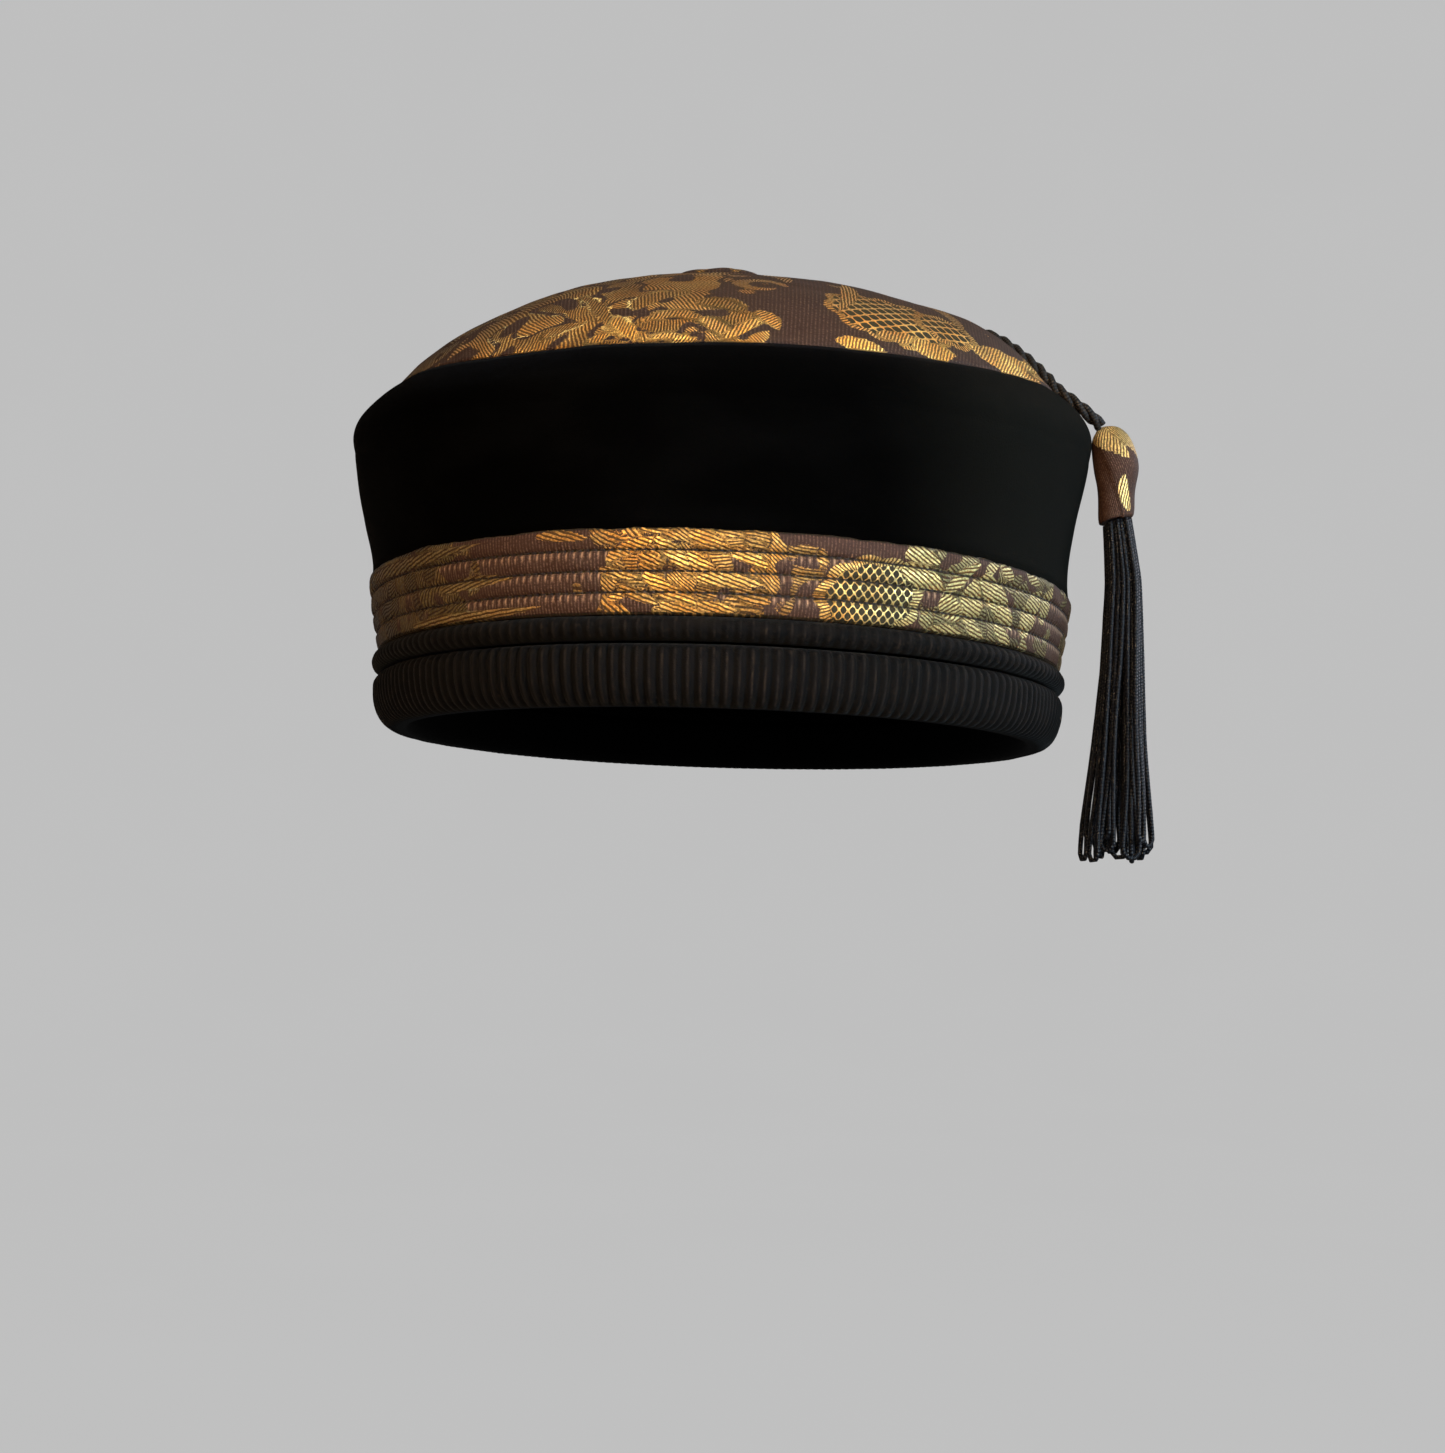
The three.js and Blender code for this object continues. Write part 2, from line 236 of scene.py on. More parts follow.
def through(points: Sequence[Sequence[float]], steps: int, closed: bool = False) -> list[Vector]:
    """A smooth line through points.

    Args:
        points: The points, in two or three numbers each.
        steps: How many pieces each stretch between two points is cut into.
        closed: Whether the line runs back to its first point.

    Returns:
        The line's points. A closed line doesn't repeat its first one.
    """
    known = [Vector(point) for point in points]
    count = len(known)
    last = count if closed else count - 1
    line = []
    for i in range(last):
        if closed:
            a, b, c, d = (known[(i + k) % count] for k in (-1, 0, 1, 2))
        else:
            a, b, c, d = (known[min(max(i + k, 0), count - 1)] for k in (-1, 0, 1, 2))
        for j in range(steps):
            t = j / steps
            second = (a * 2 - b * 5 + c * 4 - d) * t**2
            third = (b * 3 - a - c * 3 + d) * t**3
            line.append((b * 2 + (c - a) * t + second + third) / 2)
    if not closed:
        line.append(known[-1].copy())
    return line


def as_rows(points: Iterable[Vector]) -> Array:
    """Points as the rows of an array."""
    return np.array([list(point) for point in points])


def axis_profile(line: Sequence[Sequence[float]], steps: int) -> Array:
    """A smooth profile through points, which starts and ends on the axis."""
    profile = as_rows(through(line, steps))
    profile[:, 0] = np.maximum(profile[:, 0], 0)
    profile[0, 0] = profile[-1, 0] = 0
    return profile


def lining(outer: Sequence[Vector], thick: float, every: int = 1) -> list[Vector]:
    """Points a wall's thickness inside a profile, one for every few of its points."""
    inner = []
    for i in range(0, len(outer), every):
        along = (outer[min(i + 1, len(outer) - 1)] - outer[max(i - 1, 0)]).normalized()
        inner.append(Vector((max(outer[i].x - along.y * thick, 0), outer[i].y + along.x * thick)))
    return inner


def as_mesh(bm: BMesh, name: str) -> Mesh:
    """Writes geometry to a new mesh and frees it."""
    mesh = bpy.data.meshes.new(name)
    bm.to_mesh(mesh)
    bm.free()
    return mesh


def spin_round(bm: BMesh, geom: list, angle: float, steps: int, merge: bool) -> None:
    """Spins geometry about the Z axis, in steps, through an angle."""
    bmesh.ops.spin(
        bm, geom=geom, cent=(0, 0, 0), axis=(0, 0, 1), dvec=(0, 0, 0), angle=angle, space=Matrix.Identity(4),
        steps=steps, use_merge=merge, use_normal_flip=False, use_duplicate=False,
    )


def even(points: Sequence[Vector], count: int) -> list[Vector]:
    """The same open line with its points evenly spaced, count of them."""
    array = as_rows(points)
    walked = np.concatenate([[0.0], np.cumsum(np.linalg.norm(np.diff(array, axis=0), axis=1))])
    wanted = np.linspace(0, walked[-1], count)
    return [Vector([np.interp(w, walked, array[:, k]) for k in range(array.shape[1])]) for w in wanted]


def ripple(points: Array, size: float, seed: float) -> Array:
    """Soft noise from -1 to 1 at each point, with features about the given size."""
    offset = Vector((seed * 17.3, seed * 5.1, seed * 9.7))
    return np.array([smooth_noise(Vector(point) / size + offset) for point in points.tolist()])


@dataclass
class Spun:
    """A closed profile spun about the cap's axis, with each vertex's place on it.

    Attributes:
        mesh: The spun mesh, in millimetres, round and not yet stretched.
        profile: The profile's rows of radius and height.
        row: The row of each vertex.
        azimuth: The angle of each vertex from +X towards +Y.
        radius: The radius of each vertex.
        height: The height of each vertex.
    """

    profile: Array
    steps: int
    name: str
    mesh: Mesh = field(init=False)
    row: Array = field(init=False)
    azimuth: Array = field(init=False)
    radius: Array = field(init=False)
    height: Array = field(init=False)

    def __post_init__(self) -> None:
        """Spins the profile and reads each vertex's place."""
        bm = bmesh.new()
        verts = [bm.verts.new((radius, 0, height)) for radius, height in self.profile]
        closing = verts[1:] + verts[:1]
        edges = [bm.edges.new((a, b)) for a, b in zip(verts, closing) if max(a.co.x, b.co.x) > ON_AXIS]
        sector = self.steps
        doublings = 0
        while sector % 2 == 0 and sector > MOST_STEPS:
            sector //= 2
            doublings += 1
        angle = TURN / 2**doublings
        spin_round(bm, verts + edges, angle, sector, merge=False)
        for time in range(doublings):
            copied = bmesh.ops.duplicate(bm, geom=bm.verts[:] + bm.edges[:] + bm.faces[:])["geom"]
            moved = [item for item in copied if isinstance(item, BMVert)]
            turned = Matrix.Rotation(angle * 2**time, 3, "Z")
            bmesh.ops.rotate(bm, verts=moved, cent=(0, 0, 0), matrix=turned)
        bmesh.ops.remove_doubles(bm, verts=bm.verts, dist=MERGE)
        bmesh.ops.recalc_face_normals(bm, faces=bm.faces)
        self.mesh = as_mesh(bm, self.name)
        points = read_points(self.mesh)
        self.radius = np.hypot(points[:, 0], points[:, 1])
        self.height = points[:, 2].copy()
        self.azimuth = np.arctan2(points[:, 1], points[:, 0])
        away = (self.radius[:, None] - self.profile[None, :, 0]) ** 2
        away += (self.height[:, None] - self.profile[None, :, 1]) ** 2
        self.row = away.argmin(axis=1)

    def normals(self) -> Array:
        """The profile's outward direction at each vertex, as radius and height."""
        before = np.roll(self.profile, 1, axis=0)
        after = np.roll(self.profile, -1, axis=0)
        along = after - before
        area = np.sum(self.profile[:, 0] * after[:, 1] - after[:, 0] * self.profile[:, 1])
        outward = np.column_stack([along[:, 1], -along[:, 0]]) * (1 if area > 0 else -1)
        outward /= np.linalg.norm(outward, axis=1)[:, None] + 1e-12
        return outward[self.row]

    def place(self, push: Array, lift: Optional[Array] = None) -> Array:
        """Each vertex's point on the oval, pushed along the profile's outward direction.

        Args:
            push: How far each vertex moves outwards.
            lift: How far each vertex moves up as well.

        Returns:
            Rows of x, y and z.
        """
        outward = self.normals()
        radius = np.maximum(self.radius + push * outward[:, 0], 0)
        radius = np.where(self.radius < ON_AXIS, 0, radius)
        height = self.height + push * outward[:, 1] + (0 if lift is None else lift)
        x = radius * np.cos(self.azimuth)
        return np.column_stack([x, FORM.oval * radius * np.sin(self.azimuth), height])

    @property
    def rest(self) -> Array:
        """Each vertex's point on the oval before anything is pushed."""
        return self.place(np.zeros_like(self.radius))


def read_points(mesh: Mesh) -> Array:
    """A mesh's vertices as rows of x, y and z."""
    flat = np.empty(len(mesh.vertices) * 3)
    mesh.vertices.foreach_get("co", flat)
    return flat.reshape(-1, 3)


def write_points(mesh: Mesh, points: Array) -> None:
    """Moves a mesh's vertices to rows of x, y and z."""
    mesh.vertices.foreach_set("co", np.ascontiguousarray(points, dtype=np.float32).ravel())
    mesh.update()


def write_attribute(mesh: Mesh, name: str, values: Array) -> None:
    """Keeps one number for each vertex under a name that materials read."""
    layer = mesh.attributes.new(name, "FLOAT", "POINT")
    layer.data.foreach_set("value", np.ascontiguousarray(values, dtype=np.float32))


def write_cloth_map(mesh: Mesh, across: Array, up: Array, around: float) -> None:
    """Keeps the cloth's own coordinates as a UV map, in decimetres.

    Args:
        mesh: The mesh, with one pair of values for each vertex.
        across: The coordinate along the cloth, in millimetres.
        up: The coordinate across it, in millimetres.
        around: The length after which the first coordinate starts again, or 0.
    """
    corners = np.empty(len(mesh.loops), dtype=np.int64)
    mesh.loops.foreach_get("vertex_index", corners)
    u = across[corners]
    if around:
        starts = np.empty(len(mesh.polygons), dtype=np.int64)
        totals = np.empty(len(mesh.polygons), dtype=np.int64)
        mesh.polygons.foreach_get("loop_start", starts)
        mesh.polygons.foreach_get("loop_total", totals)
        first = np.repeat(u[starts], totals)
        u = first + (u - first + around / 2) % around - around / 2
    layer = mesh.uv_layers.new(name="cloth")
    pairs = np.column_stack([u, up[corners]]).astype(np.float32) / 100
    layer.data.foreach_set("uv", pairs.ravel())


def add_object(name: str, data: bpy.types.ID) -> Piece:
    """Adds an object to the scene."""
    added = bpy.data.objects.new(name, data)
    bpy.context.scene.collection.objects.link(added)
    return added


def finish_piece(name: str, mesh: Mesh, material: Material) -> Piece:
    """Scales a mesh to metres and makes it a piece of the cap.

    Args:
        name: The piece's name.
        mesh: Its mesh, in millimetres.
        material: Its finish.

    Returns:
        The new object, which rides on the cap.
    """
    write_points(mesh, read_points(mesh) * MM)
    mesh.name = name
    mesh.materials.clear()
    mesh.materials.append(material)
    mesh.shade_smooth()
    piece = add_object(name, mesh)
    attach(piece, ROOT)
    LOG.info("%s: %d faces", name, len(mesh.polygons))
    return piece


class Desk:
    """A material's node tree, with short calls that add and link nodes."""

    def __init__(self, name: str) -> None:
        """Starts a material with a bare principled shader."""
        self.material = bpy.data.materials.new(name)
        self.material.use_nodes = True
        self.tree = self.material.node_tree
        self.shader = self.tree.nodes["Principled BSDF"]

    def node(self, kind: str, **settings: object) -> bpy.types.Node:
        """Adds a node and sets its properties."""
        made = self.tree.nodes.new(kind)
        for key, value in settings.items():
            setattr(made, key, value)
        return made

    def feed(self, socket: Socket, value: object) -> None:
        """Links a socket into another, or sets the other's value."""
        if isinstance(value, bpy.types.NodeSocket):
            self.tree.links.new(value, socket)
        else:
            socket.default_value = value

    def math(self, operation: str, *values: object, clamp: bool = False) -> Socket:
        """A math node's result."""
        made = self.node("ShaderNodeMath", operation=operation, use_clamp=clamp)
        for socket, value in zip(made.inputs, values):
            self.feed(socket, value)
        return made.outputs[0]

    def times(self, first: object, second: object) -> Socket:
        """The product of two numbers."""
        return self.math("MULTIPLY", first, second)

    def ramp(
        self, value: Socket, low: float, high: float, to_low: float = 0.0, to_high: float = 1.0
    ) -> Socket:
        """A value carried smoothly from one range to another."""
        made = self.node("ShaderNodeMapRange", interpolation_type="SMOOTHSTEP")
        for index, number in enumerate((value, low, high, to_low, to_high)):
            self.feed(made.inputs[index], number)
        return made.outputs[0]

    def mix(self, factor: object, first: object, second: object) -> Socket:
        """Two colours mixed."""
        made = self.node("ShaderNodeMix", data_type="RGBA")
        self.feed(made.inputs["Factor"], factor)
        self.feed(made.inputs[6], first)
        self.feed(made.inputs[7], second)
        return made.outputs[2]

    def blend(self, factor: object, first: object, second: object) -> Socket:
        """Two numbers mixed."""
        made = self.node("ShaderNodeMix", data_type="FLOAT")
        self.feed(made.inputs["Factor"], factor)
        self.feed(made.inputs[2], first)
        self.feed(made.inputs[3], second)
        return made.outputs[0]

    def attribute(self, name: str) -> Socket:
        """A number kept on the vertices."""
        return self.node("ShaderNodeAttribute", attribute_name=name).outputs["Fac"]

    def cloth(self) -> tuple[Socket, Socket, Socket]:
        """The cloth map's two coordinates in decimetres, and the map itself."""
        flat = self.node("ShaderNodeUVMap", uv_map="cloth").outputs[0]
        across, up, _ = self.split(flat)
        return across, up, flat

    def place(self) -> Socket:
        """The object's own coordinates, in metres."""
        return self.node("ShaderNodeTexCoord").outputs["Object"]

    def split(self, vector: Socket) -> tuple[Socket, Socket, Socket]:
        """A vector's three numbers."""
        made = self.node("ShaderNodeSeparateXYZ")
        self.feed(made.inputs[0], vector)
        return made.outputs[0], made.outputs[1], made.outputs[2]

    def scaled(self, vector: Socket, scale: Triple) -> Socket:
        """A vector scaled along each axis."""
        made = self.node("ShaderNodeMapping")
        self.feed(made.inputs["Vector"], vector)
        self.feed(made.inputs["Scale"], scale)
        return made.outputs[0]

    def noise(self, vector: Socket, scale: float, detail: float, rough: float) -> Socket:
        """Soft noise from 0 to 1."""
        made = self.node("ShaderNodeTexNoise")
        self.feed(made.inputs["Vector"], vector)
        self.feed(made.inputs["Scale"], scale)
        self.feed(made.inputs["Detail"], detail)
        self.feed(made.inputs["Roughness"], rough)
        return made.outputs["Fac"]

    def waves(self, value: Socket, per_unit: float, phase: object = 0.0) -> Socket:
        """A cosine from -1 to 1 along a value."""
        angle = self.math("MULTIPLY_ADD", value, per_unit * TURN, phase)
        return self.math("COSINE", angle)

    def ribs(self, value: Socket, per_unit: float) -> Socket:
        """A cosine from 0 to 1 along a value."""
        return self.math("MULTIPLY_ADD", self.waves(value, per_unit), 0.5, 0.5)

    def bump(self, height: Socket, distance: float, strength: float) -> Socket:
        """A bumped normal."""
        made = self.node("ShaderNodeBump")
        self.feed(made.inputs["Strength"], strength)
        self.feed(made.inputs["Distance"], distance)
        self.feed(made.inputs["Height"], height)
        return made.outputs[0]

    def set(self, **values: object) -> None:
        """Sets or links the shader's sockets by name, with _ for a space."""
        for key, value in values.items():
            self.feed(self.shader.inputs[key.replace("_", " ")], value)


@dataclass(frozen=True)
class BrocadeFinish:
    """Gold weft floats on a ribbed plum ground, with a netted filling in some motifs.

    Pitches, the net's mesh and the channel are in millimetres. A float starts at thread_low in the threads'
    wave and is full at thread_high.
    """

    name: str = "brocade_cloth"
    ground: Colour = (0.036, 0.015, 0.010, 1)
    ground_rib: Colour = (0.125, 0.069, 0.043, 1)
    tick: Colour = (0.40, 0.25, 0.16, 1)
    hole: Colour = (0.030, 0.021, 0.009, 1)
    gold: Colour = (0.84, 0.39, 0.080, 1)
    gold_pale: Colour = (0.90, 0.54, 0.165, 1)
    # The gold's colour where cool light is painted on it.
    gold_in_cool_light: Colour = (0.66, 0.62, 0.30, 1)
    backing: Colour = (0.010, 0.009, 0.009, 1)
    rib_pitch: float = 0.90
    thread_pitch: float = 0.92
    net_width: float = 2.4
    net_height: float = 2.7
    thread_low: float = -0.45
    thread_high: float = 0.3
    channel: float = 4.8
    stitch_pitch: float = 2.03
    pick_pitch: float = 0.62
    per_map: float = 100

    def build(self) -> Material:
        """Makes the brocade's material."""
        desk = Desk(self.name)
        across, up, flat = desk.cloth()
        fleck = desk.noise(flat, 150, 3, 0.6)
        drift = desk.noise(flat, 11, 2, 0.5)
        jag = desk.math("SUBTRACT", desk.noise(flat, 190, 2, 0.6), 0.5)
        leaf = desk.ramp(desk.math("ADD", desk.attribute("fill"), jag), 0.12, -0.12)
        wander = desk.times(desk.noise(flat, 42, 2, 0.6), 5.0)
        thread = desk.waves(desk.attribute("thread"), 1 / self.thread_pitch, wander)
        floats = desk.times(leaf, desk.ramp(thread, self.thread_low, self.thread_high))
        columns = desk.waves(across, self.per_map / self.net_width)
        lattice = desk.math("ADD", columns, desk.waves(up, self.per_map / self.net_height))
        net_area = desk.ramp(desk.math("ADD", desk.attribute("net"), jag), 0.15, -0.15)
        net_area = desk.times(net_area, desk.math("SUBTRACT", 1.0, leaf))
        net = desk.times(desk.ramp(desk.math("ABSOLUTE", lattice), 0.62, 0.26), net_area)
        outside = desk.math("SUBTRACT", 1.0, desk.attribute("inside"))
        gold = desk.times(desk.math("MAXIMUM", floats, net), outside)
        rib = desk.ribs(across, self.per_map / self.rib_pitch)
        pick = desk.ribs(up, self.per_map / self.pick_pitch)
        weave = desk.times(desk.ramp(rib, 0.35, 1.0), desk.math("MULTIPLY_ADD", pick, 0.3, 0.7))
        weave = desk.times(weave, desk.ramp(fleck, 0.38, 0.62, 0.05, 1.1))
        weave = desk.times(weave, desk.ramp(desk.noise(flat, 34, 2, 0.6), 0.3, 0.62, 0.45, 1.15))
        # The tone attribute carries painted light and shade along with the motifs' own tones.
        tone = desk.attribute("tone")
        level = desk.times(tone, desk.ramp(fleck, 0.30, 0.70, 0.42, 1.30))
        metal = desk.mix(desk.ramp(drift, 0.35, 0.65), self.gold, self.gold_pale)
        # Painted cool light: the gold is tinted towards a pale greenish gold where the cool attribute says.
        metal = self.shaded(desk, desk.mix(desk.attribute("painted_cool_light"), metal, self.gold_in_cool_light), level)
        under = desk.mix(0.4, self.shaded(desk, self.gold, desk.times(tone, 0.17)), self.ground)
        cloth = desk.mix(weave, self.ground, self.ground_rib)
        drawn_up = desk.times(desk.attribute("tick"), desk.ramp(fleck, 0.25, 0.5))
        cloth = desk.mix(drawn_up, cloth, self.tick)
        cloth = desk.mix(leaf, cloth, under)
        cloth = desk.mix(net_area, cloth, self.hole)
        cloth = desk.mix(outside, self.backing, cloth)
        turn = desk.math("FRACT", desk.math("MULTIPLY_ADD", up, self.per_map / self.channel, 0.5))
        line = desk.ramp(desk.math("ABSOLUTE", desk.math("SUBTRACT", turn, 0.5)), 0.075, 0.03)
        dash = desk.ramp(desk.waves(across, self.per_map / self.stitch_pitch), -0.5, 0.3, 0.45, 1.0)
        sewn = desk.times(desk.times(line, dash), desk.attribute("quilted"))
        desk.set(
            Base_Color=desk.mix(sewn, desk.mix(gold, cloth, metal), self.hole),
            Metallic=desk.times(gold, desk.math("MULTIPLY_ADD", sewn, -0.6, 0.6)),
            Roughness=desk.blend(gold, 0.72, 0.34),
            Specular_IOR_Level=0.22,
        )
        relief = desk.math("ADD", gold, desk.times(weave, 0.45))
        relief = desk.math("ADD", relief, desk.times(fleck, 0.6))
        relief = desk.math("SUBTRACT", relief, desk.times(sewn, 1.6))
        desk.set(Normal=desk.bump(relief, 0.00024, 0.9))
        return desk.material

    def shaded(self, desk: Desk, colour: object, level: Socket) -> Socket:
        """A colour multiplied by a grey level."""
        grey = desk.node("ShaderNodeCombineColor")
        for socket in grey.inputs:
            desk.feed(socket, level)
        made = desk.node("ShaderNodeMix", data_type="RGBA", blend_type="MULTIPLY")
        desk.feed(made.inputs["Factor"], 1.0)
        desk.feed(made.inputs[6], colour)
        desk.feed(made.inputs[7], grey.outputs[0])
        return made.outputs[2]


@dataclass(frozen=True)
class VelvetFinish:
    """Black cotton velvet: no shine, a faint bloom where the pile is seen from its side, and painted cool
    light on its side towards +X.
    """

    name: str = "velvet_pile"
    pile: Colour = (0.0004, 0.0004, 0.0004, 1)
    brushed: Colour = (0.0018, 0.0018, 0.0018, 1)
    # The velvet's colour where cool light is painted on its side towards +X.
    lit: Colour = (0.0062, 0.0062, 0.0052, 1)

    def build(self) -> Material:
        """Makes the velvet's material."""
        desk = Desk(self.name)
        place = desk.place()
        brushed = desk.ramp(desk.noise(desk.scaled(place, (1, 1, 2.4)), 26, 3, 0.55), 0.42, 0.72)
        grain = desk.noise(place, 2600, 2, 0.6)
        colour = desk.mix(desk.times(brushed, grain), self.pile, self.brushed)
        # Painted cool light: the velvet is painted lighter on its side towards +X.
        turned = desk.ramp(desk.split(place)[0], 0.058, 0.098)
        colour = desk.mix(desk.times(turned, desk.ramp(grain, 0.2, 0.8, 0.6, 1.0)), colour, self.lit)
        desk.set(
            Base_Color=colour,
            Roughness=0.95,
            Specular_IOR_Level=0.01,
            Sheen_Weight=0.009,
            Sheen_Roughness=0.30,
            Sheen_Tint=(0.80, 0.78, 0.86, 1),
        )
        desk.set(Normal=desk.bump(grain, 0.0004, 0.6))
        return desk.material


@dataclass(frozen=True)
class RibbedFinish:
    """Near-black ribbed cloth, worn grey and painted with a highlight on the crests of its ribs, and painted
    darker in its grooves as painted shade.
    """

    name: str = "ribbed_cloth"
    groove: Colour = (0.0010, 0.0009, 0.0010, 1)
    body: Colour = (0.0018, 0.0014, 0.0013, 1)
    crest: Colour = (0.017, 0.013, 0.011, 1)

    def build(self) -> Material:
        """Makes the ribbed cloth's material."""
        desk = Desk(self.name)
        place = desk.place()
        crest = desk.attribute("crest")
        wear_and_highlight = desk.ramp(desk.noise(place, 420, 3, 0.6), 0.35, 0.75)
        # Painted shade: the grooves between the ribs are painted darker than the ribs' bodies.
        body = desk.mix(desk.ramp(crest, 0.05, 0.55), self.groove, self.body)
        # A thin pale line on each crest, broken up by noise: partly wear, partly painted highlight.
        thin = desk.times(desk.ramp(crest, 0.93, 1.0), desk.math("MULTIPLY_ADD", wear_and_highlight, 0.75, 0.25))
        fuzz = desk.noise(place, 2300, 2, 0.6)
        desk.set(
            Base_Color=desk.mix(thin, body, self.crest),
            Roughness=0.85,
            Specular_IOR_Level=0.10,
            Sheen_Weight=0.02,
            Sheen_Roughness=0.4,
        )
        desk.set(Normal=desk.bump(fuzz, 0.00025, 0.7))
        return desk.material


@dataclass(frozen=True)
class YarnFinish:
    """Smooth black yarn with the fine cross ribs of a knitted chain, a pitch in millimetres apart, painted
    lighter on the ribs' crests as painted highlight and darker between them as painted shade.
    """

    name: str
    dark: Colour
    light: Colour
    roughness: float = 0.42
    rib_pitch: float = 0.95

    def build(self) -> Material:
        """Makes the yarn's material."""
        desk = Desk(self.name)
        along = desk.attribute("along")
        rib = desk.ribs(along, 1 / self.rib_pitch)
        fray = desk.noise(desk.place(), 1900, 2, 0.6)
        # Painted highlight and shade: the ribs' crests are painted lighter and the hollows between them
        # darker.
        level = desk.math("MULTIPLY", rib, desk.math("MULTIPLY_ADD", fray, 0.8, 0.4), clamp=True)
        desk.set(
            Base_Color=desk.mix(level, self.dark, self.light),
            Roughness=self.roughness,
            Specular_IOR_Level=0.25,
            Sheen_Weight=0.02,
            Sheen_Roughness=0.35,
        )
        desk.set(Normal=desk.bump(desk.math("MULTIPLY_ADD", fray, 0.35, rib), 0.00016, 0.9))
        return desk.material


@dataclass(frozen=True)
class ThreadFinish:
    """Dark sewing thread."""

    name: str = "sewing_thread"
    colour: Colour = (0.012, 0.008, 0.008, 1)
    lighter: float = 3.2

    def build(self) -> Material:
        """Makes the thread's material."""
        desk = Desk(self.name)
        fray = desk.noise(desk.place(), 3200, 2, 0.6)
        lighter = tuple(min(channel * self.lighter, 1) for channel in self.colour)
        desk.set(
            Base_Color=desk.mix(fray, self.colour, lighter),
            Roughness=0.6,
            Specular_IOR_Level=0.3,
            Normal=desk.bump(fray, 0.0001, 0.6),
        )
        return desk.material


@dataclass(frozen=True)
class Leaf:
    """A curved leaf of gold floats: its two ends, width and bend in millimetres.

    The threads run at an angle in degrees from the cloth's first axis, and the tone says how bright they are,
    with painted light and shade in it.
    """

    x: float
    y: float
    to_x: float
    to_y: float
    width: float
    bend: float = 0.0
    threads: float = 70.0
    tone: float = 1.0

    def measure(self, x: Array, y: Array) -> tuple[Array, Array]:
        """How far each point lies outside the leaf, and its place across the leaf's threads.

        Args:
            x: The points' first coordinates, from the leaf's base.
            y: Their second coordinates, from the leaf's base.

        Returns:
            The distance, negative inside, and the coordinate that the threads repeat along.
        """
        length = math.hypot(self.to_x - self.x, self.to_y - self.y)
        turn = math.atan2(self.to_y - self.y, self.to_x - self.x)
        along = x * math.cos(turn) + y * math.sin(turn)
        aside = -x * math.sin(turn) + y * math.cos(turn)
        share = np.clip(along / length, 0, 1)
        aside = aside - self.bend * 4 * share * (1 - share)
        half = self.width / 2 * np.sin(math.pi * (0.06 + 0.94 * share**0.85)) ** 0.7
        beyond = np.maximum(-along, 0) + np.maximum(along - length, 0)
        distance = np.where(beyond > 0, np.hypot(beyond, np.abs(aside)), np.abs(aside) - half)
        slant = math.radians(self.threads)
        return distance, -x * math.sin(slant) + y * math.cos(slant)


@dataclass(frozen=True)
class Curl:
    """A curled ribbon of floats: its middle, radius, width, and the angles at which it starts and ends."""

    x: float
    y: float
    radius: float
    width: float
    start: float
    sweep: float
    tone: float = 1.0

    def measure(self, x: Array, y: Array) -> tuple[Array, Array]:
        """How far each point lies outside the curl, and its place across the curl's threads."""
        reach = np.hypot(x, y)
        angle = (np.degrees(np.arctan2(y, x)) - self.start) % 360
        share = np.clip(angle / self.sweep, 0, 1)
        half = self.width / 2 * np.sin(math.pi * (0.12 + 0.88 * share)) ** 0.6
        path = self.radius * (1 - 0.25 * share)
        distance = np.abs(reach - path) - half
        outside = angle > self.sweep
        distance = np.where(outside, np.maximum(distance, 1.5), distance)
        return distance, np.radians(angle) * self.radius + reach * 0.35


@dataclass(frozen=True)
class Net:
    """A lobed patch of netting: its middle, half sizes and the number of lobes round its edge."""

    x: float
    y: float
    across: float
    up: float
    lobes: int = 7
    tone: float = 1.0

    def measure(self, x: Array, y: Array) -> tuple[Array, Array]:
        """How far each point lies outside the patch, and its place across the threads of its edge."""
        angle = np.arctan2(y / self.up, x / self.across)
        lobe = 1 + 0.12 * np.abs(np.sin(angle * self.lobes / 2)) + 0.10 * np.sin(2 * angle + 0.7)
        reach = np.hypot(x / self.across, y / self.up) / lobe
        return (reach - 1) * min(self.across, self.up), angle * self.across


@dataclass(frozen=True)
class Scroll:
    """Swirling leaves with bare grooves between them, which fill a drawing wherever it has no motif.

    Attributes:
        cover: How much of the ground they cover at each point.
        tone: How bright their threads are at each point, with painted light and shade by where they lie.
        hatch: The place across their threads, from each point and the side of the groove that it lies on.
        size: About how large they are, in millimetres.
        groove: How wide the grooves are, as a share of the size.
        seed: The seed of their noise.
    """

    cover: Maker
    tone: Maker
    hatch: Callable[[Array, Array, Array], Array]
    size: float
    groove: float
    seed: float = 71.0

    def measure(self, x: Array, y: Array) -> tuple[Array, Array, Array]:
        """How far each point lies outside the leaves, its place across their threads, and their tone with its
        painted light and shade.
        """
        flat = np.column_stack([x, y, np.zeros_like(x)])
        swirl = ripple(flat, self.size, self.seed)
        patch = 0.5 + 0.9 * ripple(flat, self.size * 0.9, self.seed + 1)
        drift = ripple(flat, self.size * 2.4, self.seed + 2)
        groove = (self.groove - np.abs(swirl)) * self.size * 0.9
        outside = np.maximum(groove, (1 - self.cover(x, y) - patch) * self.size * 0.7)
        side = np.sign(swirl)
        hatch = self.hatch(x, y, side) + 5.5 * drift
        return outside, hatch, self.tone(x, y) * (1 + 0.55 * drift + 0.18 * side)


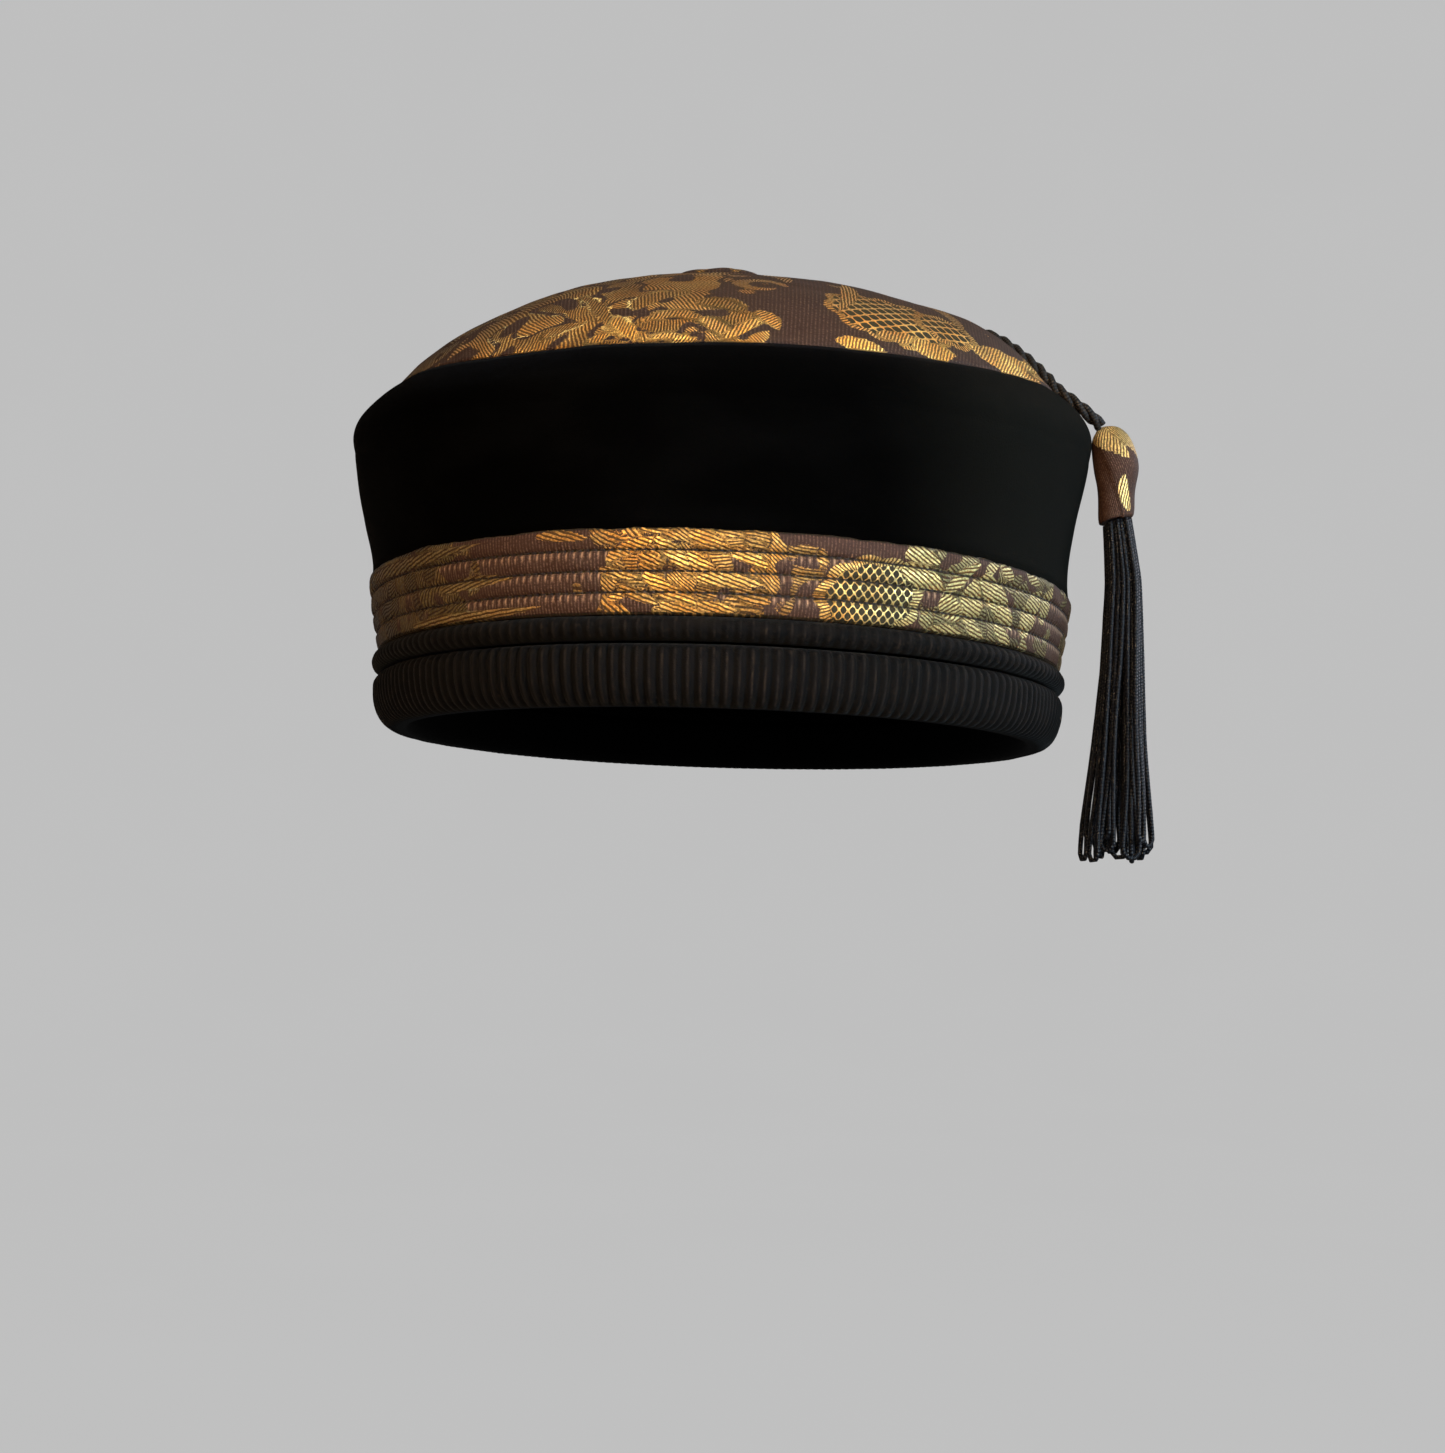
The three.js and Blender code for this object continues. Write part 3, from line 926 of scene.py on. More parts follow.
@dataclass
class Drawing:
    """The motifs of a piece of brocade, laid out on its cloth map.

    Attributes:
        motifs: The leaves and curls, drawn over everything else.
        nets: The netted patches, drawn over the scrolls.
        around: The length after which the cloth closes on itself, or 0.
        edge: How wide the rim of a netted patch is.
        scroll: What fills the rest.
        grain: How far the ribs of the ground are turned, in degrees.
    """

    motifs: list[Leaf | Curl]
    nets: list[Net]
    around: float = 0.0
    edge: float = 1.9
    scroll: Optional[Scroll] = None
    grain: float = 0.0

    def lay(
        self, mesh: Mesh, across: Array, up: Array, inside: float | Array = 0.0, tick: float | Array = 0.0,
        quilted: float = 0.0, painted_highlight: float | Array = 1.0, painted_cool_light: float | Array = 0.0,
    ) -> None:
        """Keeps the drawing on a mesh, as numbers for each vertex.

        Args:
            mesh: The mesh of the piece.
            across: Each vertex's first coordinate on the cloth.
            up: Each vertex's second coordinate on the cloth.
            inside: 1 where the cloth's back shows, which is plain.
            tick: How strongly the ground is drawn up pale beside a stitch.
            quilted: 1 where rows of stitches run along the cloth.
            painted_highlight: How much brighter the gold is painted, as painted highlight.
            painted_cool_light: How pale and greenish the gold is painted, as painted cool light.
        """
        nothing = np.zeros(len(across))
        fill = nothing + FAR_OUTSIDE
        thread = nothing
        tone = nothing + 1
        net = nothing + FAR_OUTSIDE
        if self.scroll is not None:
            fill, thread, tone = self.scroll.measure(self.wrapped(across), up)
        for motif in [*self.nets, *self.motifs]:
            outside, hatch = motif.measure(*self.offsets(motif, across, up))
            rim, near = outside, outside < LEAF_MARGIN
            if isinstance(motif, Net):
                inner = outside + self.edge
                net = np.minimum(net, inner)
                rim, near = np.maximum(outside, -inner), outside < NET_MARGIN
            fill = np.where(near, rim, fill)
            thread = np.where(near, hatch, thread)
            tone = np.where(near, motif.tone, tone)
        kept = {
            "fill": np.clip(fill, -OUTLINE_LIMIT, OUTLINE_LIMIT), "thread": thread, "tone": tone * painted_highlight,
            "painted_cool_light": nothing + painted_cool_light, "net": np.clip(net, -OUTLINE_LIMIT, OUTLINE_LIMIT),
            "inside": nothing + inside, "tick": nothing + tick, "quilted": nothing + quilted,
        }
        for name, values in kept.items():
            write_attribute(mesh, name, values)
        along, aside = math.cos(math.radians(self.grain)), math.sin(math.radians(self.grain))
        write_cloth_map(mesh, across * along + up * aside, up * along - across * aside, self.around)

    def wrapped(self, across: Array) -> Array:
        """The first coordinates, the short way round where the cloth closes on itself."""
        if not self.around:
            return across
        return (across + self.around / 2) % self.around - self.around / 2

    def offsets(self, motif: Leaf | Curl | Net, across: Array, up: Array) -> tuple[Array, Array]:
        """The coordinates from a motif's own place."""
        return self.wrapped(across - motif.x), up - motif.y


@dataclass
class Cuff:
    """The padded roll of ribbed cloth round the head opening."""

    rib_depth: float = 0.75
    columns_per_rib: int = 8
    ribs_from: tuple[float, float] = (0.3, 0.62)
    ribs_to: tuple[float, float] = (13.7, 14.4)
    slack: float = 0.22
    smooth_crest: float = 0.3
    outline: tuple[tuple[float, float], ...] = (
        (0.60, 1.0), (0.87, 0.955), (0.985, 0.84), (1.0, 0.70), (0.975, 0.5), (0.92, 0.34), (0.83, 0.2),
        (0.70, 0.085), (0.55, 0.02), (0.38, 0.0), (0.22, 0.01), (0.1, 0.035), (0.0, 0.2), (0.03, 0.55),
        (0.13, 0.98), (0.36, 1.0),
    )

    def build(self, material: Material) -> Piece:
        """Makes the cuff's piece."""
        line = [
            (FORM.head_radius + out * FORM.cuff_padding, up * FORM.cuff_height) for out, up in self.outline
        ]
        profile = as_rows(through(line, 2, closed=True))
        spun = Spun(profile, FORM.ribs * self.columns_per_rib, "cuff_cloth")
        share = (spun.radius - FORM.head_radius) / FORM.cuff_padding
        shown = ramp(spun.height, -1, 0.5) * (1 - ramp(spun.height, *self.ribs_to))
        outside = ramp(share, *self.ribs_from) * shown
        flat = spun.rest
        waver = ripple(flat * [1, 1, 0.5], 21, 3)
        crest = np.abs(np.cos((FORM.ribs * spun.azimuth + 0.5 * waver) / 2)) ** 0.7
        slack = ripple(flat, 9, 4) * self.slack
        write_points(spun.mesh, spun.place(outside * (crest - 1) * self.rib_depth + slack * outside))
        write_attribute(spun.mesh, "crest", crest * outside + self.smooth_crest * (1 - outside))
        piece = finish_piece("ribbed_cuff", spun.mesh, material)
        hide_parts("cuff")
        return piece


@dataclass
class Welt:
    """The lightly ribbed roll between the cuff and the band."""

    depth: float = 7.2
    inset: float = 2.9
    rib_depth: float = 0.38
    slack: float = 0.16
    columns_per_rib: int = 8
    sides: int = 22

    def build(self, material: Material) -> Piece:
        """Makes the welt's piece."""
        middle = (FORM.cuff_radius - self.inset, FORM.welt_bottom + FORM.welt_height / 2)
        profile = []
        for i in range(self.sides):
            turn = TURN * i / self.sides
            out = self.depth / 2 * math.cos(turn)
            profile.append((middle[0] + out, middle[1] + FORM.welt_height / 2 * math.sin(turn)))
        spun = Spun(np.array(profile), FORM.ribs * self.columns_per_rib, "welt_cloth")
        flat = spun.rest
        waver = ripple(flat, 15, 6)
        crest = np.abs(np.cos((FORM.ribs * spun.azimuth + 0.7 * waver) / 2)) ** 0.8
        outer = ramp(spun.radius, middle[0], middle[0] + 2)
        slack = ripple(flat * [1, 1, 1.6], 6, 7) * self.slack
        write_points(spun.mesh, spun.place(outer * ((crest - 1) * self.rib_depth + slack)))
        write_attribute(spun.mesh, "crest", 0.3 + 0.69 * crest * outer)
        piece = finish_piece("rolled_welt", spun.mesh, material)
        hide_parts("cuff_welt")
        return piece


@dataclass
class Band:
    """The quilted brocade band with its three rows of stitches."""

    channels: int = 4
    puff: float = 0.58
    stitches: int = 312
    columns_per_stitch: int = 6
    rows: int = 44
    # The last of the inside's rows lies below the rim and closes the gap to the welt.
    inner_rows: tuple[float, ...] = (0.985, 0.7, 0.35, -0.028)
    seam_at: float = 140
    stitch_share: float = 0.31
    stitch_thick: float = 0.42
    stitch_sink: float = 0.12
    stitch_round: float = 0.13

    @property
    def length(self) -> float:
        """The band's length round the cap, at its middle."""
        return TURN * (FORM.band_low + FORM.band_high) / 2 * (1 + FORM.oval) / 2

    def surface(self, share: Array, azimuth: Array, slack: Array) -> Array:
        """How far the quilted cloth stands out from the band's plain wall.

        Args:
            share: The height over the band's, from 0 to 1.
            azimuth: The angle from +X towards +Y.
            slack: Soft noise from -1 to 1.

        Returns:
            The distance outwards.
        """
        channel = share * self.channels
        across = channel - np.floor(channel)
        crown = 1 - np.abs(2 * across - 1) ** 3
        to_line = np.abs(channel - np.round(channel)) * FORM.band_height / self.channels
        inner_line = (np.round(channel) > 0.5) & (np.round(channel) < self.channels - 0.5)
        stitch = 0.5 + 0.5 * np.cos(self.stitches * azimuth)
        pinch = np.where(inner_line, np.exp(-((to_line / 0.42) ** 2)) * (0.22 + 0.24 * stitch), 0)
        wave = np.cos(self.stitches * azimuth + 0.6)
        pucker = np.where(inner_line, np.exp(-to_line / 1.3) * 0.13 * wave, 0)
        return self.puff * crown * (0.9 + 0.35 * slack) - pinch - pucker * (0.8 + slack) + 0.12 * slack

    def drawing(self) -> Drawing:
        """The band's motifs: the front half listed one by one, and again at the back."""
        rows = (
            (-64, 1, -15, 2, 2.9, -0.5, 4, 0.62), (-93, 17, -32, 18, 2.9, -1.2, 13, 0.40),
            (-16, 18, -2, 17, 2.6, 0.3, 164, 0.60), (-49, 8, -23, 9, 3.1, 0.5, 13, 0.50),
            (2, 12, 15, 17, 2.9, 0.6, 159, 1.15), (0, 10, 10, 8, 2.3, 0, 161, 1.15),
            (2, 3, 12, 6, 2.3, 0.4, 163, 1.15), (10, 19, 18, 19, 2.2, 0, 166, 1.10),
            (14, 17, 23, 8, 3.5, 0.7, 158, 1.25), (11, 9, 28, 0, 3.9, -0.7, 162, 1.30),
            (13, 2, 27, 0, 2.5, 0, 162, 1.20), (22, 18, 32, 14, 3.8, 0.6, 162, 1.00),
            (22, 14, 32, 6, 4.1, -0.7, 158, 1.20), (32, 14, 41, 11, 3.4, 0.6, 163, 1.35),
            (24, 8, 40, 7, 3.8, 0.4, 161, 1.15), (24, 2, 34, 1, 2.7, 0, 161, 1.10),
            (28, 19, 35, 18, 2.0, 0, 168, 1.00), (10, 13, 17, 11, 2.5, 0, 156, 0.80),
            (5, 6, 15, 2, 2.7, 0, 160, 0.90), (33, 5, 42, 3, 3.2, 0, 168, 0.75),
            (35, 17, 41, 15, 2.0, 0, 166, 0.70), (75, 14, 88, 10, 6.4, 0.4, 152, 1.10),
            (75, 17, 86, 16, 3.9, 0.9, 154, 1.04), (88, 9, 99, 18, 3.4, 0.4, 12, 1.10),
            (101, 16, 106, 19, 3.1, 0, 158, 1.04), (107, 19, 113, 16, 3.4, 0, 15, 0.99),
            (97, 3, 100, 15, 7.9, 0.7, 161, 1.10), (100, 15, 116, 4, 6.9, 0.3, 167, 1.10),
            (87, 8, 95, 4, 5.9, 0, 34, 1.04), (84, 0, 96, 1, 3.4, 0, 161, 0.99),
            (97, 3, 104, 0, 3.5, 0, 167, 1.04), (108, 4, 116, 0, 3.6, 0, 170, 1.04),
            (121, 3, 129, 16, 7.4, 1.0, 164, 1.04), (121, 2, 126, 0, 2.5, 0, 174, 0.88),
            (119, 19, 127, 17, 3.1, 0, 19, 0.94), (131, 8, 136, 18, 6.0, 0.6, 162, 0.94),
        )
        half = self.length / 2
        motifs: list[Leaf | Curl] = []
        nets: list[Net] = []
        for turn in (0.0, half):
            motifs += [Leaf(turn + x, y, turn + to_x, *rest) for x, y, to_x, *rest in rows]
            nets.append(Net(turn + 67, 6.0, 12.5, 9.6, 9, 1.05))

        def from_seam(x: Array) -> Array:
            """The place on the half that a point lies on, from its seam."""
            return (x + self.seam_at) % half - self.seam_at

        def cover(x: Array, y: Array) -> Array:
            """How much of the ground the scrolls cover along the band."""
            wobble = 9 * ripple(np.column_stack([x, y * 1.6, np.zeros_like(x)]), 7, 78)
            places = [-140, -52, -28, -12, 12, 33, 56, 78, 88, 128, 140, 177]
            shares = [1.1, 1, 0.15, 0, 1.1, 1.1, 0, 0.1, 0.62, 0.62, 0.2, 1.1]
            return np.interp(from_seam(x + wobble), places, shares)

        def tone(x: Array, y: Array) -> Array:
            """How bright the scrolls' threads are along the band: painted light towards the front and painted
            shade towards the sides.
            """
            places = [-140, -45, -10, 6, 38, 60, 177]
            return np.interp(from_seam(x), places, [0.24, 0.28, 0.42, 0.84, 0.82, 0.6, 0.26])

        def hatch(x: Array, y: Array, side: Array) -> Array:
            """The place across the scrolls' threads, which slant more or less down to the right."""
            angle = np.radians(np.where(from_seam(x) > -20, -26.0 - 15 * side, 42.0 + 22 * side))
            return y * np.cos(angle) - x * np.sin(angle)

        return Drawing(motifs, nets, self.length, scroll=Scroll(cover, tone, hatch, 7.0, 0.03))

    def build(self, cloth: Material, thread: Material) -> list[Piece]:
        """Makes the band's piece and its stitches."""
        shares = np.concatenate([np.linspace(0, 1, self.rows), self.inner_rows])
        radii = FORM.band_low + FORM.band_flare * shares
        radii[self.rows:] -= FORM.band_thick
        profile = np.column_stack([radii, FORM.band_bottom + FORM.band_height * shares])
        spun = Spun(profile, self.stitches * self.columns_per_stitch, "band_cloth")
        outside = spun.row < self.rows
        share = np.clip((spun.height - FORM.band_bottom) / FORM.band_height, 0, 1)
        flat = spun.rest
        slack = ripple(flat * [1, 1, 1.5], 7.5, 11)
        fold = ripple(flat * [1, 1, 0.35], 3.2, 12)
        push = self.surface(share, spun.azimuth, slack) + 0.10 * fold * ramp(share, 0.0, 0.1)
        lift = ramp(share, 0.9, 1.0) * (0.28 * slack + 0.16 * fold)
        write_points(spun.mesh, spun.place(np.where(outside, push, 0), np.where(outside, lift, 0)))
        across = (spun.azimuth + math.pi / 2) / TURN * self.length
        line = share * self.channels
        beside = (np.round(line) - line) * FORM.band_height / self.channels
        sewn = (np.round(line) > 0.5) & (np.round(line) < self.channels - 0.5)
        at_stitch = ramp(np.cos(self.stitches * spun.azimuth), 0.35, 0.95)
        tick = np.exp(-(((beside - 1.0) / 0.85) ** 2)) * at_stitch * sewn
        place = (across + self.seam_at) % self.length - self.seam_at
        # Painted cool light: the gold is tinted pale and greenish on the band's side towards +X and, less, on
        # its other side.
        painted_cool_light = ramp(place, 52, 84) * (1 - ramp(place, 140, 175)) + 0.45 * (1 - ramp(place, -45, -10))
        self.drawing().lay(spun.mesh, across, share * FORM.band_height, ~outside, tick, 1.0, painted_cool_light=painted_cool_light * 0.85)
        piece = finish_piece("quilted_band", spun.mesh, cloth)
        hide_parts("brocade_band")
        return [piece, self.stitch_rows(thread)]

    def stitch_rows(self, material: Material) -> Piece:
        """Makes the three rows of short sunken stitches."""
        bm = bmesh.new()
        for line in range(1, self.channels):
            share = line / self.channels
            radius = FORM.band_low + FORM.band_flare * share - self.stitch_sink
            height = FORM.band_bottom + FORM.band_height * share
            for number in range(self.stitches):
                angle = TURN * (number + 0.5) / self.stitches
                step = self.stitch_share * TURN * radius / self.stitches
                made = bmesh.ops.create_cube(bm, size=1.0)
                middle = Vector((radius * math.cos(angle), FORM.oval * radius * math.sin(angle), height))
                tangent = Vector((-math.sin(angle), FORM.oval * math.cos(angle), 0)).normalized()
                spin = tangent.to_track_quat("X", "Z").to_matrix().to_4x4()
                grown = Matrix.Diagonal((2.0 * step, self.stitch_thick, self.stitch_thick, 1))
                bmesh.ops.transform(bm, verts=made["verts"], matrix=Matrix.Translation(middle) @ spin @ grown)
        bmesh.ops.bevel(
            bm, geom=bm.edges[:], offset=self.stitch_round, offset_type="OFFSET", segments=1, profile=0.5,
            affect="EDGES", material=-1,
        )
        return finish_piece("quilting_stitches", as_mesh(bm, "stitches"), material)


@dataclass
class VelvetWall:
    """The velvet side, tucked behind the band and rolled in over the shoulder."""

    thick: float = 2.0
    tuck: float = 7.0
    reach: float = 16.0
    arrival: tuple[float, float] = (0.83, 0.56)
    columns: int = 400

    def profile(self) -> Array:
        """The wall's closed profile, outside first."""
        gap = FORM.gap

        def behind(height: float) -> Vector:
            """A point of the strip that the band hides."""
            share = (height - FORM.band_bottom) / FORM.band_height
            return Vector((FORM.band_low + FORM.band_flare * share - FORM.band_thick - 2 * gap, height))

        foot = Vector((FORM.band_high - 2 * gap, FORM.band_top + self.thick))
        bulge = Vector((FORM.bulge_radius, FORM.bulge_height))
        seam = Vector((FORM.seam_radius, FORM.seam_height))
        arrive = seam + Vector((self.arrival[0], -self.arrival[1])) * self.reach
        swell = bulge - Vector((0, FORM.wall_rise / 8))
        side = cubic(foot, foot + Vector((-1, FORM.wall_rise / 4)), swell, bulge, 22)
        shoulder = cubic(bulge, bulge + Vector((0, FORM.shoulder_rise / 6)), arrive, seam, 20)[1:]
        outer = [behind(FORM.band_top - self.tuck), behind(FORM.band_top)] + side + shoulder
        return as_rows(outer + lining(outer, self.thick)[::-2])

    def build(self, material: Material) -> Piece:
        """Makes the velvet's piece."""
        spun = Spun(self.profile(), self.columns, "velvet_cloth")
        flat = spun.rest
        free = ramp(spun.height, FORM.band_top + 4, FORM.band_top + 16)
        slack = 0.35 * ripple(flat * [1, 1, 0.5], 26, 21) + 0.10 * ripple(flat, 8, 22)
        write_points(spun.mesh, FORM.settle(spun.place(free * slack)))
        piece = finish_piece("velvet_side", spun.mesh, material)
        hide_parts("velvet_wall")
        return piece


@dataclass
class Top:
    """The brocade dome, eased into the seam and drawn in under the button."""

    thick: float = 2.0
    reach: float = 23.0
    leave: tuple[float, float] = (0.61, 0.79)
    crest: float = 50.0
    grain: float = 16.0
    rows: int = 104
    columns: int = 640

    def profile(self) -> tuple[Array, Array]:
        """The dome's closed profile, outside first, and how far along the cloth each row lies."""
        gap = FORM.gap * 1.2
        start = Vector((FORM.seam_radius - gap, FORM.seam_height + gap))
        leave = start + Vector((-self.leave[0], self.leave[1])) * self.reach
        line = cubic(start, leave, Vector((self.crest, FORM.top_height)), Vector((0, FORM.top_height)), 160)
        outer = even(line, self.rows)
        inner = lining(outer, self.thick, 8) + [Vector((0, FORM.top_height - self.thick))]
        rows = as_rows(outer + inner[::-1])
        steps = np.linalg.norm(np.diff(rows[: self.rows], axis=0), axis=1)
        from_middle = np.concatenate([np.cumsum(steps[::-1])[::-1], [0.0]])
        return rows, np.concatenate([from_middle, rows[self.rows:, 0]])

    def drawing(self) -> Drawing:
        """The top's motifs: listed one by one where the front shows them, and scrolls over the rest."""
        rows = (
            (-17, -80, 1, -110, 4.0, 1.0, 91, 0.70), (-2, -100, 8, -112, 5.0, 0, 90, 1.05),
            (2, -97, 14, -83, 8.5, 3.0, 108, 0.85), (7, -103, 25, -102, 4.8, 4.0, 89, 0.80),
            (22, -99, 32, -106, 5.4, 0, 95, 1.15), (30, -107, 38, -90, 3.6, 0, 90, 1.15),
            (11, -110, 25, -109, 3.0, 0.4, 82, 1.15), (18, -90, 32, -92, 6.0, 1.2, 90, 0.70),
            (34, -90, 42, -96, 5.0, 0.6, 63, 0.95),
            (-21, -105, -10, -101, 5.0, 1.5, 70, 0.60),
            (-6, -111, 0, -108, 3.5, 0, 85, 1.00), (56, -91, 69, -84, 7.0, -0.3, 103, 1.30),
            (64, -79, 74, -67, 6.0, -0.3, 99, 1.30), (73, -74, 83, -62, 8.0, -0.4, 103, 1.10),
            (86, -50, 97, -9, 13.5, -5.0, 99, 1.35), (98, -24, 102, -4, 2.0, 0, 60, 0.80),
            (44, -40, 52, -76, 5.0, 2.0, 107, 1.00), (62, -20, 80, -44, 6.0, 2.0, 80, 0.70),
            (20, -40, 34, -62, 6.0, 2.0, 100, 0.70),
        )
        motifs: list[Leaf | Curl] = [Leaf(*row) for row in rows]
        curls = (
            (29, -70, 6.2, 4.6, 20, 330, 0.85), (-52, -66, 9, 5, 200, 270, 0.55),
            (-70, 30, 9, 5, 40, 280, 0.7), (60, 50, 9, 5, 160, 280, 0.7), (-10, 80, 9, 5, 90, 280, 0.7),
        )
        motifs += [Curl(*row) for row in curls]
        nets = [Net(63, -64, 15, 17, 11, 1.05), Net(76, -50, 8, 11, 7, 1.0)]

        def cover(x: Array, y: Array) -> Array:
            """How much of the ground the scrolls cover, by the bearing from the front towards the tassel."""
            bearing = np.degrees(np.arctan2(x, -y))
            bearings = [-180, -115, -100, 14, 26, 34, 110, 150]
            return np.interp(bearing, bearings, [0.7, 0.7, 0.80, 0.78, 0, 0, 0.15, 0.7])

        def tone(x: Array, y: Array) -> Array:
            """How bright the scrolls' threads are: painted light towards the front and painted shade towards
            -X.
            """
            bearing = np.degrees(np.arctan2(x, -y))
            return np.interp(bearing, [-100, -40, -8, 20, 60], [0.28, 0.34, 0.74, 0.74, 0.6])

        def hatch(x: Array, y: Array, side: Array) -> Array:
            """The place across the scrolls' threads, which run more or less along the cloth's grain."""
            angle = np.radians(self.grain + 4 + 17 * side)
            return x * np.cos(angle) + y * np.sin(angle)

        return Drawing(motifs, nets, scroll=Scroll(cover, tone, hatch, 9.0, 0.09, 75.0), grain=self.grain)

    def build(self, material: Material) -> Piece:
        """Makes the top's piece."""
        rows, from_middle = self.profile()
        spun = Spun(rows, self.columns, "top_cloth")
        reach = from_middle[spun.row]
        outside = spun.row < self.rows
        flat = spun.rest
        seam = from_middle[0]
        gathers = ripple(flat * [1, 1, 0.3], 4.2, 31) * 0.4 * np.exp(-((seam - reach) / 7) ** 2)
        slack = 0.55 * ripple(flat, 21, 32) + 0.22 * ripple(flat, 8, 33)
        calm = ramp(reach, 14, 24) * (1 - ramp(reach, seam - 3, seam))
        write_points(spun.mesh, FORM.settle(spun.place(np.where(outside, gathers + slack * calm, 0))))
        across = reach * np.cos(spun.azimuth)
        back = reach * np.sin(spun.azimuth) * FORM.oval
        # Painted highlight: the top's gold is painted brighter near the seam, in patches.
        painted_highlight = 0.84 + ramp(reach, seam - 24, seam) * (0.60 + 1.1 * ripple(flat, 9, 35))
        # Painted cool light: the top's gold is tinted pale and greenish towards -X.
        painted_cool_light = 0.4 * (1 - ramp(np.degrees(np.arctan2(across, -back)), -50, 0))
        self.drawing().lay(spun.mesh, across, back, ~outside, painted_highlight=painted_highlight, painted_cool_light=painted_cool_light)
        piece = finish_piece("domed_top", spun.mesh, material)
        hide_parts("crown_top")
        return piece


@dataclass
class Button:
    """The flat covered button on the middle of the top."""

    height: float = 5.2
    rim: float = 2.0
    sink: float = 0.9
    left: float = -2.6
    pleats: float = 4.5
    pleat_depth: float = 0.7
    columns: int = 160
    leaves: int = 9
    leaf_reach: float = 15.5

    def build(self, material: Material) -> Piece:
        """Makes the button's piece."""
        base = FORM.top_height + FORM.gap * 1.5
        radius = FORM.button_radius
        line = [
            (0, base), (radius * 0.5, base - self.sink * 0.5), (radius * 0.94, base - self.sink),
            (radius, base - self.sink + self.rim), (radius * 0.96, base + self.height * 0.52),
            (radius * 0.78, base + self.height * 0.87), (radius * 0.42, base + self.height * 0.985),
            (0, base + self.height),
        ]
        spun = Spun(axis_profile(line, 6), self.columns, "button_cloth")
        top = ramp(spun.height, base + 0.5, base + 3)
        flat = spun.rest / [1, FORM.oval, 1]
        pleat = np.abs(np.sin(self.pleats * spun.azimuth + 1.1)) ** 0.5 - 1
        rim = np.exp(-(((spun.radius - radius * 0.98) / 3.2) ** 2))
        push = pleat * self.pleat_depth * rim * ramp(spun.height, base - self.sink, base + 1)
        push += 0.3 * top * ripple(flat, 7, 51)
        points = spun.place(np.where(spun.radius > 0.01, push, 0)) / [1, FORM.oval, 1]
        x = points[:, 0] + self.left
        z = points[:, 2] + FORM.back_rise * points[:, 1] - FORM.left_drop * x
        write_points(spun.mesh, np.column_stack([x + FORM.shift, points[:, 1], z]))
        motifs: list[Leaf | Curl] = []
        for number in range(self.leaves):
            heading = 360 * number / self.leaves - 100
            turn = math.radians(heading)
            tip = (self.leaf_reach * math.cos(turn), self.leaf_reach * math.sin(turn))
            motifs.append(Leaf(tip[0] * 0.1, tip[1] * 0.1, *tip, 9.6, 1.6, heading + 70, 0.55))
        Drawing(motifs, [], grain=16).lay(spun.mesh, points[:, 0], points[:, 1])
        piece = finish_piece("covered_button", spun.mesh, material)
        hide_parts("crown_button")
        return piece


def stations(path: Sequence[Vector]) -> list[Matrix]:
    """A frame at each point of a path, its Z along the path, carried along without twisting."""
    frames = []
    side = Vector((0, 1, 0))
    for i, point in enumerate(path):
        before = path[max(i - 1, 0)]
        after = path[min(i + 1, len(path) - 1)]
        along = (after - before).normalized()
        side = (side - along * side.dot(along)).normalized()
        up = along.cross(side)
        turned = Matrix((side, up, along)).transposed().to_4x4()
        frames.append(Matrix.Translation(point) @ turned)
    return frames


def sweep(path: Sequence[Vector], radii: Sequence[float], sides: int) -> BMesh:
    """A round strand: a circle drawn out along a path, station by station, and closed at its ends.

    Args:
        path: The strand's centre line.
        radii: Its radius at each point.
        sides: How many sides it has.

    Returns:
        The strand, with its distance from the start kept on each vertex as a layer named along.
    """
    bm = bmesh.new()
    layer = bm.verts.layers.float.new("along")
    frames = stations(path)
    made = bmesh.ops.create_circle(bm, cap_ends=False, segments=sides, radius=1.0)
    ring = made["verts"]
    now = frames[0] @ Matrix.Diagonal((radii[0], radii[0], radii[0], 1))
    bmesh.ops.transform(bm, matrix=now, verts=ring)
    edges = bm.edges[:]
    bmesh.ops.edgeloop_fill(bm, edges=edges)
    walked = 0.0
    for i in range(1, len(path)):
        walked += (path[i] - path[i - 1]).length
        grown = bmesh.ops.extrude_edge_only(bm, edges=edges)["geom"]
        ring = [item for item in grown if isinstance(item, BMVert)]
        edges = [item for item in grown if isinstance(item, BMEdge)]
        then = frames[i] @ Matrix.Diagonal((radii[i], radii[i], radii[i], 1))
        bmesh.ops.transform(bm, matrix=then @ now.inverted(), verts=ring)
        for vert in ring:
            vert[layer] = walked
        now = then
    bmesh.ops.edgeloop_fill(bm, edges=edges)
    bmesh.ops.recalc_face_normals(bm, faces=bm.faces)
    return bm


def gather(strands: Iterable[BMesh], name: str) -> Mesh:
    """Joins strands into one mesh and frees them."""
    whole = bmesh.new()
    for strand in strands:
        part = as_mesh(strand, "strand")
        whole.from_mesh(part)
        bpy.data.meshes.remove(part)
    return as_mesh(whole, name)


